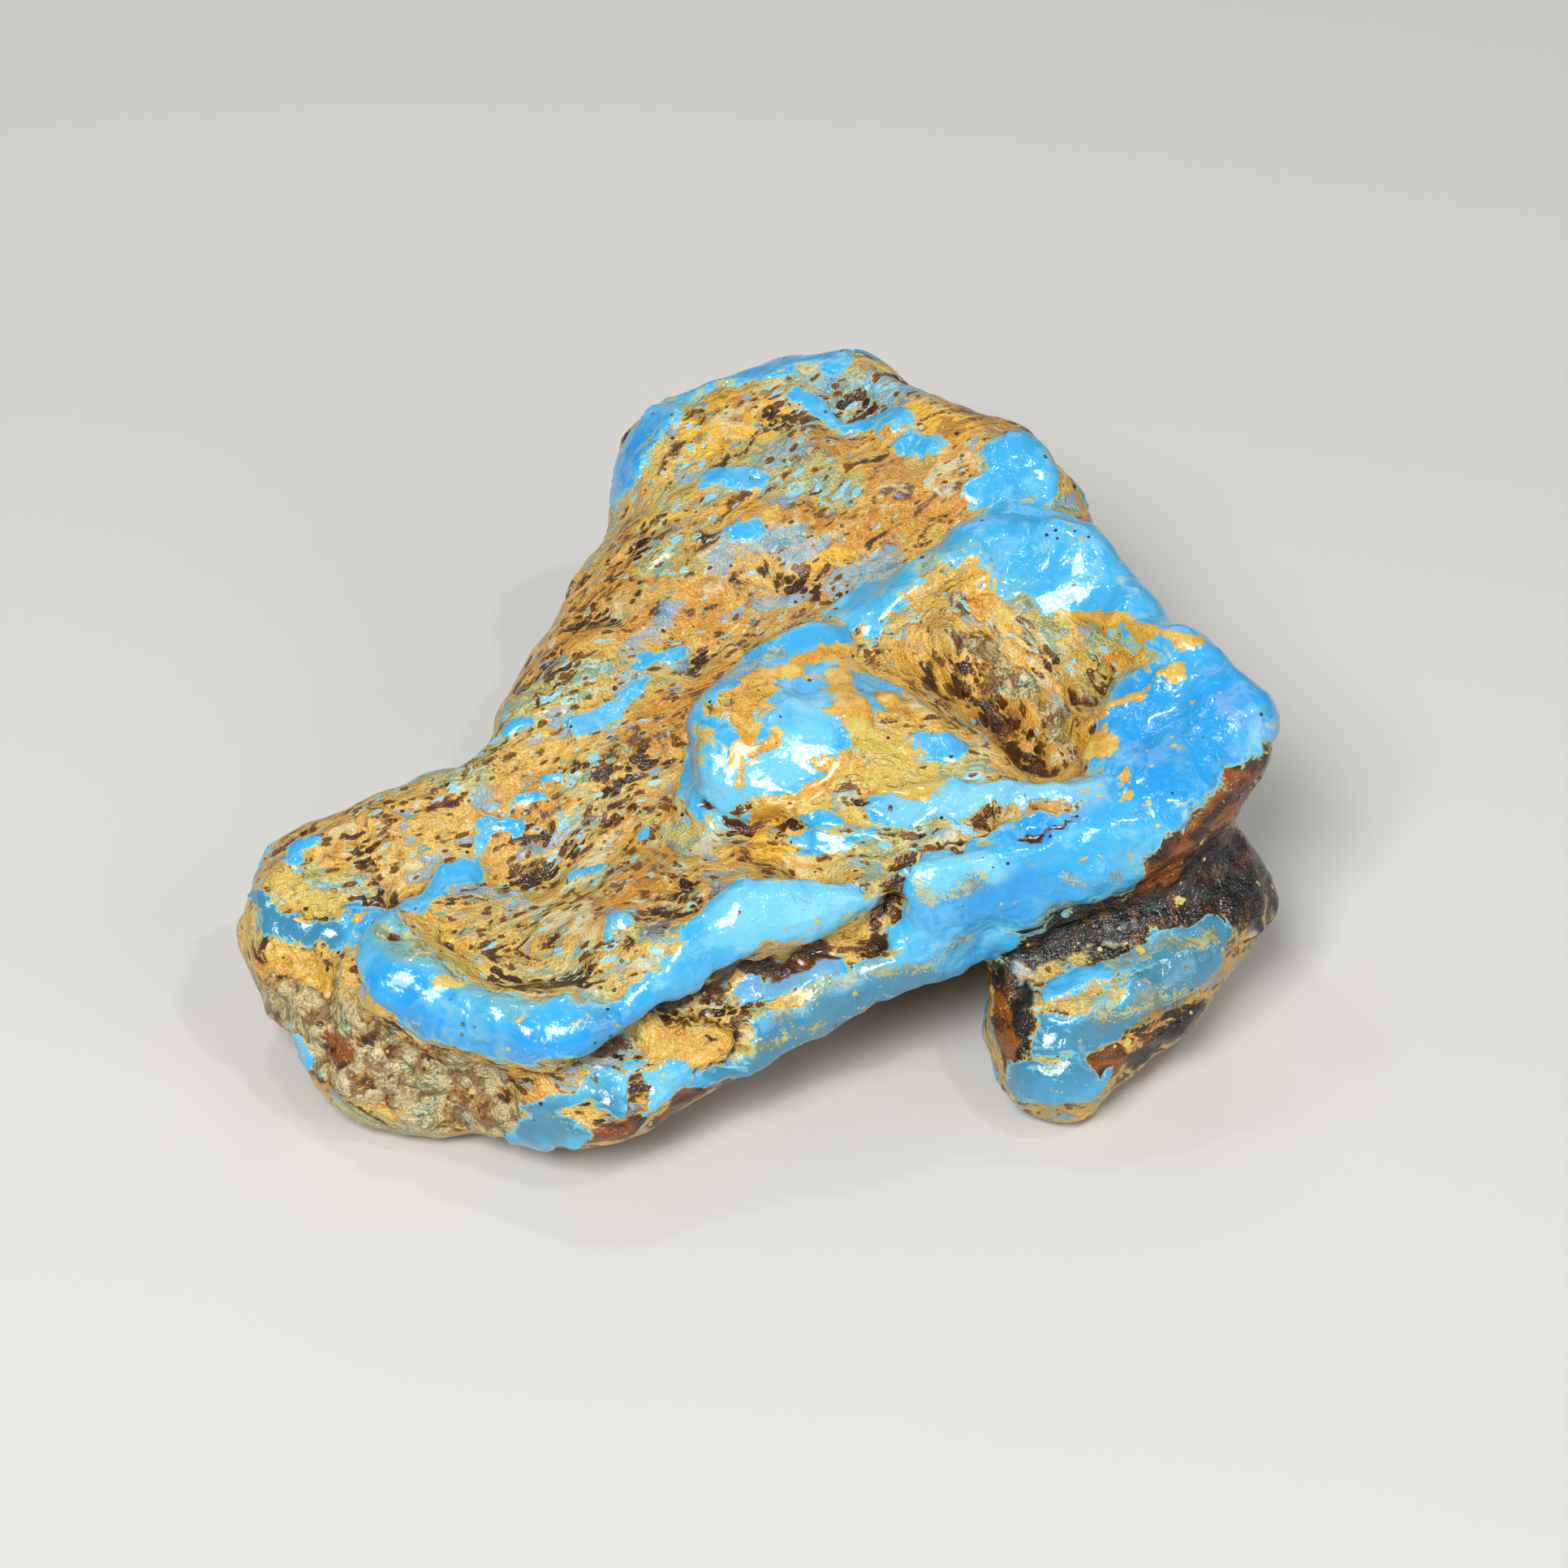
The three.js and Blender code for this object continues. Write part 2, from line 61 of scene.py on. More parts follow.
# ---------------------------------------------------------------- where each layer shows
# A stroke is its half width, then the points along its middle line, all in mm. The stone's long way runs
# along x, its front faces -y and its broad top slopes up to the back and the right.
STROKES = {
    "blue": [
        # the lip along the front left edge
        (1.9, (-21.5, -16, 11), (-20.5, -20.5, 11.5), (-17.5, -23, 10.5), (-13, -25, 11), (-8.5, -24.8, 11)),
        (1.5, (-8.5, -24.8, 11), (-5.8, -23.2, 11.5), (-3.2, -21.4, 12.5)),
        # the swollen lens in the middle of the front edge
        (2.1, (-2.3, -20.8, 13.4), (-0.5, -19.3, 14.5), (1.5, -18.8, 14.5), (3.8, -18.3, 14)),
        (1.2, (3.5, -18.5, 14), (5.5, -17.7, 13.8)),
        # the roll and the face below it, to the right corner
        (2.2, (9, -17.2, 15), (12.5, -16.6, 15.5), (16, -15.6, 16), (19, -14.5, 16.5), (21, -15, 14.5)),
        (2.6, (8.5, -18, 13), (12, -17.5, 13), (16.5, -16, 13.5), (20, -15.5, 15)),
        # the band along the lower front
        (1.7, (0, -22.6, 7.5), (3, -21, 7.8), (5.5, -20, 9), (9.5, -18.6, 10), (13, -17, 9.8)),
        (1.5, (-6, -24.5, 7), (-2, -23, 7.2), (2, -21.2, 7.5)),
        (0.8, (-2, -20.8, 10.2), (1.2, -20.2, 10.3), (4.2, -19.4, 10.6)),
        (1.3, (-12.6, -24.9, 3.2), (-11.2, -25.9, 5), (-10.3, -26.4, 5.1)),
        (1.0, (-8.3, -25.5, 7.2), (-7.3, -25.8, 6.9)),
        (0.9, (-5.9, -25.6, 6.4), (-5, -25, 6.8)),
        (1.0, (-12, -25.5, 6.5), (-8, -25.4, 7.6)),
        # the dome: its crest, its left face and its front
        (1.7, (-3.8, -8, 15), (-3, -5.5, 17), (-0.5, -3.3, 18), (2, -1.6, 18.6), (4.5, -0.4, 18.8)),
        (2.9, (-1.8, -9.8, 16), (0.5, -10.2, 16.5), (3, -8.5, 18), (4, -6, 18.5), (3.2, -4.3, 18)),
        (1.2, (5.5, -2.5, 18), (7.5, -4.5, 18)),
        (0.9, (8.5, -8.6, 17.8), (11, -8.8, 17)),
        # the horseshoe ridge and the right corner
        (2.4, (6, 3, 18.5), (9, 4.5, 20), (13, 7, 21), (17, 7, 21), (20.5, 4.5, 20)),
        (3.0, (14, 8, 21), (18, 7, 21), (21, 3.5, 20), (24, -0.5, 20), (27, -6, 19)),
        (4.2, (21.5, -7.5, 18), (23, -11.5, 18), (25.5, -9, 18.5), (25, -6.5, 19)),
        (3.0, (22, -13, 17), (26.5, -11, 17)),
        (1.7, (12.5, 5, 20), (15.5, 4, 19.8), (18.5, 2.6, 19.6), (20.5, 0.8, 19.6)),
        # the pale stretch under the dome, and small ones beside it
        (1.3, (7.5, -12, 16), (11, -12.2, 16.3), (15, -12.5, 17), (18.5, -12, 17)),
        (0.7, (2.8, -12.2, 15.5), (4.6, -12.6, 15.3)),
        (0.7, (2.4, -13.4, 14.5), (6.3, -14, 14.8)),
        (0.9, (12.8, -14.3, 15.8), (15.8, -14.5, 16.4)),
        # the back of the top
        (1.7, (-4, 23, 19), (2, 24, 20.5), (4.5, 23.7, 20.5)),
        (2.0, (-6, 20, 19), (-7, 19, 18.5), (-8.5, 17, 17)),
        (1.6, (14.5, 13, 21.5), (15.5, 14, 21.5), (16.5, 12, 21)),
        (1.5, (13, 11.5, 20), (15, 11.5, 20.5)),
        (0.8, (2.4, 20.6, 20.6), (4.6, 18.8, 19.8), (6.6, 18.5, 20.1), (8.9, 17.4, 20.8)),
        (1.0, (8.5, 15.9, 20.3), (10.4, 15.3, 20.8)),
        (1.1, (-2.7, 14, 19.3), (-0.5, 13.6, 19.6)),
        (0.8, (-1.2, 8.6, 19.2), (0.2, 9, 19.4)),
        # the left tip, the seam behind the lip and lenses in the valley
        (0.6, (-6.6, 0.8, 16), (-4.9, 1.4, 15.9)),
        (0.7, (-7.6, -1.9, 15), (-6.3, -1.1, 15.4)),
        (0.8, (-10.3, -3.7, 14.6), (-8.1, -2.6, 14.8)),
        (0.6, (-14.1, -3.6, 14.5), (-13.3, -3.2, 14.9)),
        (0.5, (-13.9, -7.9, 12.4), (-12.6, -7.6, 12.7)),
        (0.8, (-26, -18.8, 5.4), (-25.3, -20.2, 4.6)),
        (0.35, (-11.7, -6.6, 13.3), (-11.1, -6.5, 13.6)),
        (0.6, (-10.1, -12.5, 11.6), (-8.4, -12.4, 11.9)),
        (0.4, (-6.3, -10.6, 12.5), (-6.1, -10.4, 12.6)),
        (0.4, (-13.6, -13.3, 11.2), (-13, -13.2, 11.1)),
        (0.5, (-15.9, -10.4, 11.6), (-15.1, -9.5, 11.9), (-13.7, -9.5, 12)),
        (0.8, (-25.2, -10.6, 11.6), (-25.9, -11.6, 11.2)),
        (0.7, (-28, -13.2, 9.8), (-27.4, -14.5, 9.9)),
        (0.8, (-27.2, -15, 9.6), (-24.1, -16.1, 9.8), (-22, -17.3, 11)),
        (0.9, (-16.3, -11.8, 11.3), (-17.9, -13.4, 11.1), (-19.3, -15.1, 11.3)),
        (0.9, (-7.5, -19, 12.5), (-6.5, -19.5, 12.5)),
        # the knob's front and its foot
        (
            0.9, (16.8, -18.9, 8.2), (17.8, -18.6, 8.5), (20.1, -17.6, 8.7), (23.3, -16.5, 9.2),
            (25.9, -15.4, 9.2),
        ),
        (1.4, (16.8, -20.4, 6.6), (18, -20.4, 7), (21, -19.2, 7.8), (24.5, -17, 8.2)),
        (1.5, (14.7, -21.5, 4), (16.5, -22.3, 4.2), (18.3, -21.8, 4.4)),
        (0.9, (16, -21.2, 6), (18.7, -21, 6), (20.6, -20, 6.6)),
    ],
    "gold": [
        # the whorl under the lip
        (0.9, (-5.2, -23.8, 8.2), (-3.6, -23.4, 8.3), (-2, -22.9, 8.6)),
        # the patch that hooks over the dome's left side
        (0.6, (5.2, -0.5, 17.8), (4, -2, 18.2), (2.6, -2.8, 18.4), (0.7, -4.1, 18.5)),
        (1.0, (0.4, -4.6, 18.6), (-0.6, -5.8, 18.7), (-1.1, -7.2, 18.5)),
        (0.7, (-1.1, -7.2, 18.5), (-1.1, -9.1, 17.6), (-0.2, -9.2, 17.7), (0.7, -8.8, 17.9)),
        (0.4, (-0.6, -9.6, 17.3), (-0.8, -10.6, 16.4)),
        # the lobes on its right side, down to its foot
        (0.6, (5.6, -0.9, 17.5), (5.9, -2, 17.5), (4.7, -4.6, 18.1), (4.7, -6.2, 18.4)),
        (0.9, (4.9, -6.8, 18.5), (5.7, -8.3, 18.3), (7.1, -9.4, 17.7), (9.1, -10.5, 17.1)),
        (0.8, (5.2, -10, 17.3), (6.4, -10.8, 16.8), (9.2, -11.3, 16.6)),
        (0.5, (3.5, -10, 17.3), (5.2, -10.2, 17.2)),
        (0.7, (7.2, -5.2, 18.2), (8.5, -6.8, 18.2)),
        (0.6, (8.2, -0.1, 16.9), (8.9, -0.7, 16.5)),
        (0.7, (3.9, -10.9, 16.8), (3, -11.8, 16), (0.5, -12.3, 15)),
        # flecks round the ravine
        (0.8, (9.5, 2.5, 19), (12.4, 3.4, 19.6), (14.5, 2, 18.5)),
        (0.6, (14.5, 0.5, 18), (16.5, -1.5, 17), (17, -4, 16.3), (18.2, -6.5, 16.6)),
        (0.8, (18.5, -7, 16.8), (19.5, -8.6, 17.2)),
        # thin streaks over the ridge to the corner
        (0.45, (17.6, 1.6, 18.4), (21, -0.5, 19.5), (22.6, -2.5, 19.9), (24.7, -3.8, 20.1)),
        (0.4, (17.6, -0.1, 17.2), (19.1, -1, 17.3), (21.8, -2.7, 19.3)),
        (0.45, (18.6, -5.5, 17), (20.8, -5.8, 18), (23.8, -5, 19.4)),
        # the left tip, the lip's end and the foot
        (1.0, (-27, -12.4, 11), (-25.5, -13.7, 10.9), (-23, -15, 10.7)),
        (0.7, (-18.5, -16.5, 11.5), (-16.5, -17.5, 11)),
        (0.7, (-18.4, -18.2, 11.5), (-16.6, -19.5, 11.2), (-14.8, -21.2, 11.4)),
        (0.9, (-26.6, -16.5, 8.6), (-24.7, -17.4, 8.5), (-23.7, -18.4, 8.5)),
        (0.5, (20.3, -11.2, 17.5), (20.2, -12.6, 17)),
        (0.5, (-17.5, -22, 11.2), (-14.5, -22.8, 11.8)),
    ],
    "dust": [
        # the fringe along the lower band
        (0.8, (1.2, -21.2, 8.7), (3.5, -20, 9.5), (5.7, -19.3, 9.9), (9.7, -18.5, 10.2), (11.5, -17.9, 11)),
        (0.5, (-1, -22.8, 7.5), (2, -21.6, 7.6), (5.5, -20.4, 8)),
        (0.7, (15, -16.8, 11.5), (19, -15.6, 12.2)),
        (1.1, (-20.6, -17.6, 11.9), (-18.6, -19.8, 11.7), (-16.4, -21.6, 11.6)),
        (0.6, (9, -17.8, 14.5), (12.3, -17.3, 14.6)),
        (0.5, (16, -16.2, 14.2), (19.5, -15.6, 13.8)),
        # over the knob
        (0.9, (18.7, -20.3, 7.6), (21.4, -19.3, 7.6), (24.3, -17.6, 7)),
        (0.7, (19.5, -17.6, 8.8), (22.4, -16.8, 9.1), (25, -15.9, 9.3)),
        (0.5, (14.8, -20.8, 5.6), (17.5, -21.5, 5.2)),
        # the dome's crest and the ridge
        (0.9, (-1.5, -3.4, 17.5), (1, -2.3, 18.6)),
    ],
    "bare": [
        # below the right corner
        (0.8, (21.6, -15, 12.9), (22.9, -14.4, 13.4)),
        (1.7, (23.1, -14.2, 13.8), (24.7, -13, 15), (26.5, -11.3, 15.5)),
        (1.0, (26.5, -11.3, 15.5), (27.8, -9.9, 16.2), (28.5, -8.9, 17)),
        # the folds and the whorl at the foot
        (0.7, (-14.4, -24.4, 5.6), (-12.5, -25.2, 6.6), (-10.2, -25.4, 8.1), (-8.9, -25.1, 8.7)),
        (0.6, (-9.4, -26.3, 6.6), (-8.4, -26.9, 5.4), (-6.4, -26, 5.9), (-6.3, -25.3, 7)),
        # where the crust shows between blue parts: the wrinkles behind the roll
        (0.9, (5, -14.9, 14.3), (9, -14.8, 15.2), (11, -14.2, 15.5), (13, -13.3, 16)),
        (0.4, (13, -13.3, 16), (15.5, -13.6, 16.5), (17.5, -13.4, 17)),
        # the middle, between the dome's foot and the lens
        (1.6, (-4, -14, 13.5), (-1, -13.7, 14), (2, -15, 14), (5, -16, 14)),
        (0.9, (5, -16, 14), (7.4, -17, 14.2)),
        # the crevice below the lip and the lens, and the whorl
        (0.6, (-9.5, -25.4, 8.5), (-7, -24.5, 8.8), (-5.5, -23, 9.7), (-3, -22, 9.8)),
        (0.4, (-3, -22, 9.8), (1.5, -20, 11), (5, -18.7, 11.8), (7.5, -17.6, 13)),
        (1.3, (-5.5, -23.7, 8.6), (-3.7, -23.2, 8.3), (-1.8, -22.8, 8.4)),
        # the ravine
        (1.9, (11, 3, 19), (11.5, 1, 17.5), (13, -1.5, 15.5), (15, -5, 15), (16.5, -8, 15.5)),
        (1.2, (13.5, 0.5, 17.5), (15.5, -2, 16.5), (17, -4.5, 15.8)),
        (1.3, (9.5, 0, 17.5), (11, -3.5, 16.5), (13.5, -8, 16.5)),
        (1.2, (13.3, 2.2, 18.3), (15.5, 0.8, 17.8), (17.6, -0.6, 17.1)),
        (1.8, (18, -1.5, 16.7), (18.2, -5, 16.6), (16.5, -7.3, 15.7)),
        (0.6, (18.8, -21.5, 5.2), (21.5, -20.1, 5.7), (24.5, -17.9, 6.1)),
        # between the left tip's fins
        (0.7, (-26.4, -13.3, 10.6), (-24.6, -13.6, 10.9)),
    ],
    "cleft": [
        # the long crevice under the lip and the lens
        (
            0.75, (-9.5, -25.2, 8.6), (-7, -24.3, 8.9), (-5.5, -22.9, 9.8), (-2.8, -21.5, 10.5),
            (1.2, -20, 10.8), (6.6, -18.3, 11.6),
        ),
        (0.5, (5, -18.7, 11.5), (7, -17.7, 13), (8, -16.7, 14.5), (8.5, -15.7, 15)),
        # round the whorl and within it
        (
            0.32, (-6.4, -23.8, 8.6), (-5.5, -23.1, 9.4), (-4, -22.8, 9.1), (-2.6, -22.2, 9.4),
            (-1.1, -22.2, 9), (-1.1, -23, 8),
        ),
        (
            0.28, (-1.1, -23, 8), (-2, -23.6, 7.2), (-3.2, -24, 7.1), (-4.5, -24.4, 7.2),
            (-5.8, -24.3, 7.8), (-6.4, -23.8, 8.6),
        ),
        (0.2, (-3.7, -23.4, 8.1), (-3, -23, 8.6), (-2.2, -23.1, 8.3), (-2.5, -23.4, 7.9)),
        # the wrinkles between the dome's foot and the roll
        (0.4, (-2.9, -10.8, 15.1), (-1.5, -11.8, 15), (-0.1, -12.5, 14.7), (1.2, -12.6, 14.8)),
        (0.25, (1.5, -11.7, 15.8), (3, -11.8, 15.8), (5, -11.8, 16), (7.5, -12.1, 16)),
        (0.3, (6.5, -14.9, 14.5), (9, -14.9, 15.3), (11, -14.4, 15.5), (13, -13.5, 16)),
        (0.25, (8.5, -14, 15.5), (10.5, -13.8, 16), (13, -13, 16.2)),
        (0.3, (7.5, -15.8, 14.8), (9.5, -15.7, 15.4), (11.3, -15.2, 15.6)),
        (0.25, (14, -15, 16), (16, -14.9, 16.4), (17.5, -14, 16.8)),
        (0.3, (2.3, -15.4, 14), (3.4, -15.8, 14), (5, -16.6, 14)),
        # the wedge beside the lip
        (0.5, (-20, -13.5, 11.2), (-21.3, -15.5, 11), (-22.2, -17.5, 10.8)),
        (0.8, (-22.5, -20.2, 10), (-22, -18.8, 10.8)),
        # pits beside the lip and the slit by the corner
        (0.4, (-20, -17.9, 11.9), (-19.5, -18.3, 11.8)),
        (0.45, (-17.4, -17.4, 11), (-16.4, -18.6, 11)),
        (0.2, (20.3, -11.4, 17.5), (20.2, -12.4, 17.1)),
        # the ravine's bottom and the cavity beside it
        (0.75, (18.1, -1.7, 16.4), (18.6, -2.5, 16.4)),
        (0.5, (11, 1, 17.5), (12.5, -1, 15.5), (14, -3, 15), (15.5, -6, 15)),
        (0.4, (-13, -25.7, 8), (-10, -26.2, 7.7), (-7, -25.6, 7.7)),
    ],
    "dark": [
        (
            1.1, (-7.8, -24.9, 7.8), (-6.9, -24.1, 8.8), (-5.6, -22.9, 9.8), (-3, -21.9, 9.9),
            (1.2, -20.3, 10.4),
        ),
        (0.6, (-14, -24.8, 6), (-11.5, -25.4, 7.6)),
        (0.5, (-9.3, -26.6, 5.8), (-7, -26.6, 5.6)),
        # brown resin in the middle and in the valley
        (0.8, (2.3, -15.3, 13.9), (3.4, -15.8, 14)),
        (0.8, (6.8, -15.5, 14.6), (7.9, -15.4, 14.9), (7.4, -17, 14.4)),
        (0.5, (-1.3, -12.3, 14.6), (1.2, -12.6, 14.8), (3, -13.1, 14.7)),
        (0.9, (7, -17, 14.3), (7.8, -17.5, 13), (8.3, -15.8, 15)),
        (0.8, (-15.2, -12.5, 11.4), (-13.6, -12, 11.4), (-12, -11.5, 11.4)),
        (1.1, (-8.1, -8.3, 13.2), (-7.1, -7.1, 13.7), (-5.8, -5.4, 14.4)),
        (1.0, (-5.7, -18.4, 13.6), (-3.7, -18.5, 14.3), (-1.9, -17.9, 14.7)),
        (0.8, (-5, -16.2, 13.6), (-3.8, -16.4, 14)),
        (1.0, (-14.8, -20.1, 11.3), (-12.5, -21.3, 11.8), (-9.5, -21.6, 12)),
        (0.9, (-17, -16.5, 11), (-16.3, -18.2, 11)),
        (0.9, (-13.5, -9.9, 11.9), (-12.4, -9.7, 12)),
        (1.0, (-10.5, -10.5, 12.2), (-9, -9.5, 13)),
        # the ravine's cleft and its pits
        (1.1, (11.5, 0, 16.5), (12.5, -1, 15.5), (14, -3, 15), (15, -5.5, 15)),
        (1.0, (18.5, -2.2, 16.5), (19, -2.4, 16.5)),
        (0.7, (16.5, -0.5, 17), (17.5, -0.5, 17)),
        # brown lenses down the left flank
        (1.1, (-7.5, 8.5, 17.5), (-6.5, 10, 18.5)),
        (1.1, (-8.5, 4.5, 17), (-10.5, 4.5, 16)),
        (1.2, (-11.5, 0.5, 16), (-14, 0, 14.5)),
        (0.8, (-2.5, 1.5, 16), (-4, 0.5, 15.5)),
        (1.0, (4.5, 5, 17.5), (2, 6.5, 18)),
        # the back
        (1.5, (5.5, 20.5, 20), (6, 20.5, 20)),
        (1.4, (0.5, 19, 20.5), (1.5, 18.5, 20.5)),
        (0.9, (7.5, 23, 21), (9, 22.5, 21)),
        (0.9, (15.5, 12.5, 20.5), (16, 11.5, 20.5)),
        # the left tip and the wedge beside the lip
        (0.8, (-22.5, -10, 12), (-20.8, -12.6, 11.4), (-22.9, -15.6, 10.7), (-24.3, -15.4, 10.3)),
        (0.9, (-25.5, -13.9, 10.8), (-23.9, -15.2, 10.5)),
        (0.9, (-20, -21.5, 7), (-17, -22.8, 7)),
        (0.6, (6.6, -18.4, 11.3), (5.7, -19.2, 10.1)),
        (0.8, (-7.6, -24.7, 8.3), (-9.4, -25.8, 6.9)),
        (0.7, (-7.2, -25.2, 7.2), (-5.2, -24.8, 7)),
        # brown patches on the knob's lower front, partly painted shade along its foot where it meets the floor
        (0.8, (19.2, -21.3, 5.2), (21.8, -19.9, 5.6), (24.5, -17.8, 6)),
        (1.3, (15, -22.8, 1.8), (19, -22.6, 2), (23, -20, 2.8), (26.5, -16.5, 4)),
    ],
    "pale": [
        (1.2, (-3.7, -14, 13.6), (-2.2, -12.8, 14)),
        (0.8, (2.2, -14.3, 14.2), (3.6, -14.6, 14.2)),
        (0.8, (-0.5, -17, 14.5), (1.2, -16.4, 14.4)),
        (0.5, (-6.5, -24.2, 9.7), (-3.2, -22.2, 10), (1.2, -20.5, 10)),
        (1.8, (-8, -11, 13), (-12, -15, 11.5), (-9, -18, 12)),
        (1.0, (14.5, -16.5, 8.5), (14, -18, 7)),
        (1.3, (16, 0, 17.8), (16.5, -3, 16.2), (17, -5.5, 16)),
        (0.8, (9, -15, 15.2), (13, -13.8, 16)),
    ],
    "warm": [
        (1.8, (3.1, 9.9, 19.3), (6, 9.6, 19), (8.3, 10.2, 19.2), (10.3, 10.9, 19.6), (14.5, 12.5, 21)),
        (1.5, (5, 12.5, 19.5), (7.5, 13.5, 20)),
        (1.2, (4.4, 20.5, 20.1), (6.6, 19.9, 20.2)),
        (1.0, (6.2, 22.1, 21.2), (8.6, 21.5, 21)),
        (1.5, (-7.5, 11.4, 17.7), (-5.8, 11.4, 18.6)),
        (0.7, (-1, -13.6, 14.1), (0.8, -13.6, 14.2), (2.3, -14.1, 14.1)),
        (0.9, (4.5, -16.3, 14), (5.7, -16.6, 14.4), (7, -17.4, 14)),
        (1.1, (-27.8, -16, 8.1), (-25, -17.7, 8.2), (-24, -18.5, 8.3)),
        (1.0, (-7.6, -26.8, 4.8), (-6.3, -26, 5.9)),
        (2.0, (-2, -1, 16), (-5, -3.5, 15), (-6.5, -5, 14.5)),
        (1.2, (9.5, 2, 18.5), (11.5, 3, 19), (13.5, 2.5, 19)),
        (0.9, (17.5, -1, 17), (20, -1.6, 18)),
        (0.9, (-20, -15.5, 11), (-21.5, -13, 11.5)),
        (0.8, (-17.8, -16.8, 11.3), (-16, -16, 11)),
        (1.2, (-14.5, -9.5, 12), (-11, -7.5, 13)),
    ],
    "yellow": [
        # the bloom at the back left and the smaller ones round it
        (2.2, (-3.2, 20.3, 20.4), (-2.8, 17.5, 19.8)),
        (2.0, (-0.8, 16.3, 19.7), (0.9, 18.3, 20.5), (1, 20, 20.9)),
        (1.5, (-5.8, 11.4, 18.6), (-4.1, 12.3, 18.9)),
        (0.9, (-1.4, 11.5, 19.4), (-0.7, 10.6, 19.7)),
        (0.8, (3.6, 7.4, 18.3), (5, 7.5, 18.2)),
        (1.1, (9.4, 17.8, 21), (11.8, 16.4, 21.5)),
        (0.9, (4.5, 14, 20), (6, 13.5, 20)),
        # the left tip's fins and the lip's end
        (0.9, (-28, -11.8, 10.2), (-26.1, -12.1, 11.3)),
        (0.8, (-26.6, -16.5, 8.6), (-24.7, -17.4, 8.5), (-23.7, -18.5, 8.5)),
        (0.9, (-19.1, -15.4, 11.3), (-17.7, -16.5, 11)),
        (0.8, (-23.4, -12, 11.5), (-22.2, -13.9, 11.1)),
        # the whorl under the lip, the middle and the dome's foot
        (1.1, (-5.3, -23.7, 8.5), (-3.6, -23.3, 8.5), (-2.1, -22.8, 8.6)),
        (0.7, (2.4, -13.9, 14.4), (0.5, -13.4, 14.4)),
        (0.6, (4.5, -16.3, 14), (6.5, -17.2, 14)),
        (0.9, (6.5, -10.6, 17), (8.8, -11.4, 16.8)),
    ],
    "teal": [
        # green-blue wax: the lip's upper end, the knob and small pools
        (1.6, (-20, -18.1, 11.9), (-18.3, -19.6, 11.4), (-16.4, -20.6, 11.2), (-14.6, -22, 11.4)),
        (1.2, (18, -20, 7), (22.8, -17.8, 8), (26.5, -14.5, 8.5)),
        (0.8, (-25, -14.5, 10.6), (-23.7, -14, 10.9)),
        (1.0, (-10.5, -25.9, 5), (-8.5, -25.8, 6)),
        (1.2, (-12.4, -23.2, 11.6), (-15, -22.3, 11.4)),
    ],
    "painted_shade": [
        # painted shade: blue darkened to a dull petrol where it lies low and in shade, here at the left tip
        (1.5, (-28, -13, 9.8), (-27.2, -15, 9.6), (-24.1, -16.1, 9.8)),
        # painted shade: the knob's and the foot's blue, darkened where it lies in shade
        (2.6, (14.5, -21, 5), (18, -20.5, 6), (22.8, -17.8, 7), (26.5, -14.5, 8)),
        (1.5, (-19.6, -23.5, 3.4), (-15, -24.5, 3)),
        (1.3, (-12, -25.2, 5), (-8, -26, 6)),
        (1.6, (-2, -23, 7), (5.5, -20.2, 8), (9.5, -18.6, 9)),
    ],
    "green": [
        (1.8, (0.9, 13.4, 19.8), (2.6, 13.6, 20.1), (4.5, 12.2, 19.8)),
        (1.6, (-12.1, -1.4, 15.6), (-9.3, 0, 16.2)),
        (1.5, (-16.8, -6.7, 13.4), (-15.6, -3.4, 13.1), (-13.7, -2.8, 15)),
        (1.0, (5.5, -8.5, 18.2), (7.5, -9.8, 17.5)),
        (1.2, (-6.5, 7.5, 18), (-5, 9, 18)),
        (1.0, (-10.5, -7, 13.6), (-9.3, -6.3, 14.1)),
        (0.9, (-4.3, -11, 13.4), (-3.8, -13, 13.6)),
        (0.8, (-10.7, -9.5, 12.3), (-9.8, -9.2, 12.6)),
        (1.5, (-2, 22, 19.5), (-4, 21.5, 19)),
        (2.2, (2, 22, 20), (8, 21, 20.5)),
        (1.2, (7, -10.9, 17), (9.8, -10.7, 17), (12, -10.4, 17)),
        (1.4, (-20, -20, 10.8), (-18, -19.8, 11.2), (-16, -21.8, 11)),
        (1.2, (-6, -22.5, 12), (-4, -20.8, 12.8)),
        (1.6, (-24.2, -14.4, 10.8), (-22, -13.4, 11.1)),
        (1.4, (-27, -13, 10.8), (-25, -12.2, 11.3)),
        (1.2, (-18.3, -18.6, 11.5), (-16.4, -19.8, 11.2), (-14.6, -21.4, 11.4)),
        (0.9, (12, -5, 16), (13.5, -8, 16.3)),
        (1.3, (-23, -22.8, 2), (-16, -25, 1.8)),
    ],
    "rock": [
        (2.7, (-26, -18.5, 7), (-24, -20.5, 7), (-21.5, -22.5, 6), (-18.5, -23, 5), (-15, -24.5, 5)),
        (1.6, (-27.5, -16, 5), (-24, -19, 4)),
        # crumbs in the ravine
        (1.1, (12.6, 0.8, 17.3), (15, -1.6, 16.4), (16.8, -4.4, 15.8)),
        (0.8, (11, -0.5, 16.6), (13.2, -5, 16.2)),
    ],
    "soot_and_shade": [
        # soot, partly painted shade: black grains on the knob, laid along the hollow under the overhanging
        # edge, where shade falls
        (3.6, (16.5, -15.9, 11.5), (20, -15.2, 12), (23, -14, 12), (27.5, -11.8, 11)),
        (2.0, (12.5, -17, 9), (15.5, -16.2, 10), (19.5, -15.5, 10.2), (24.5, -13.6, 11)),
        (2.4, (28, -11, 13), (29, -9.5, 8)),
        (1.0, (20.8, -19.6, 4), (24.5, -17, 5)),
        (1.2, (13, -17.2, 7.5), (14.6, -19, 7.2), (14.6, -20.2, 5.6)),
    ],
    "ember": [
        (
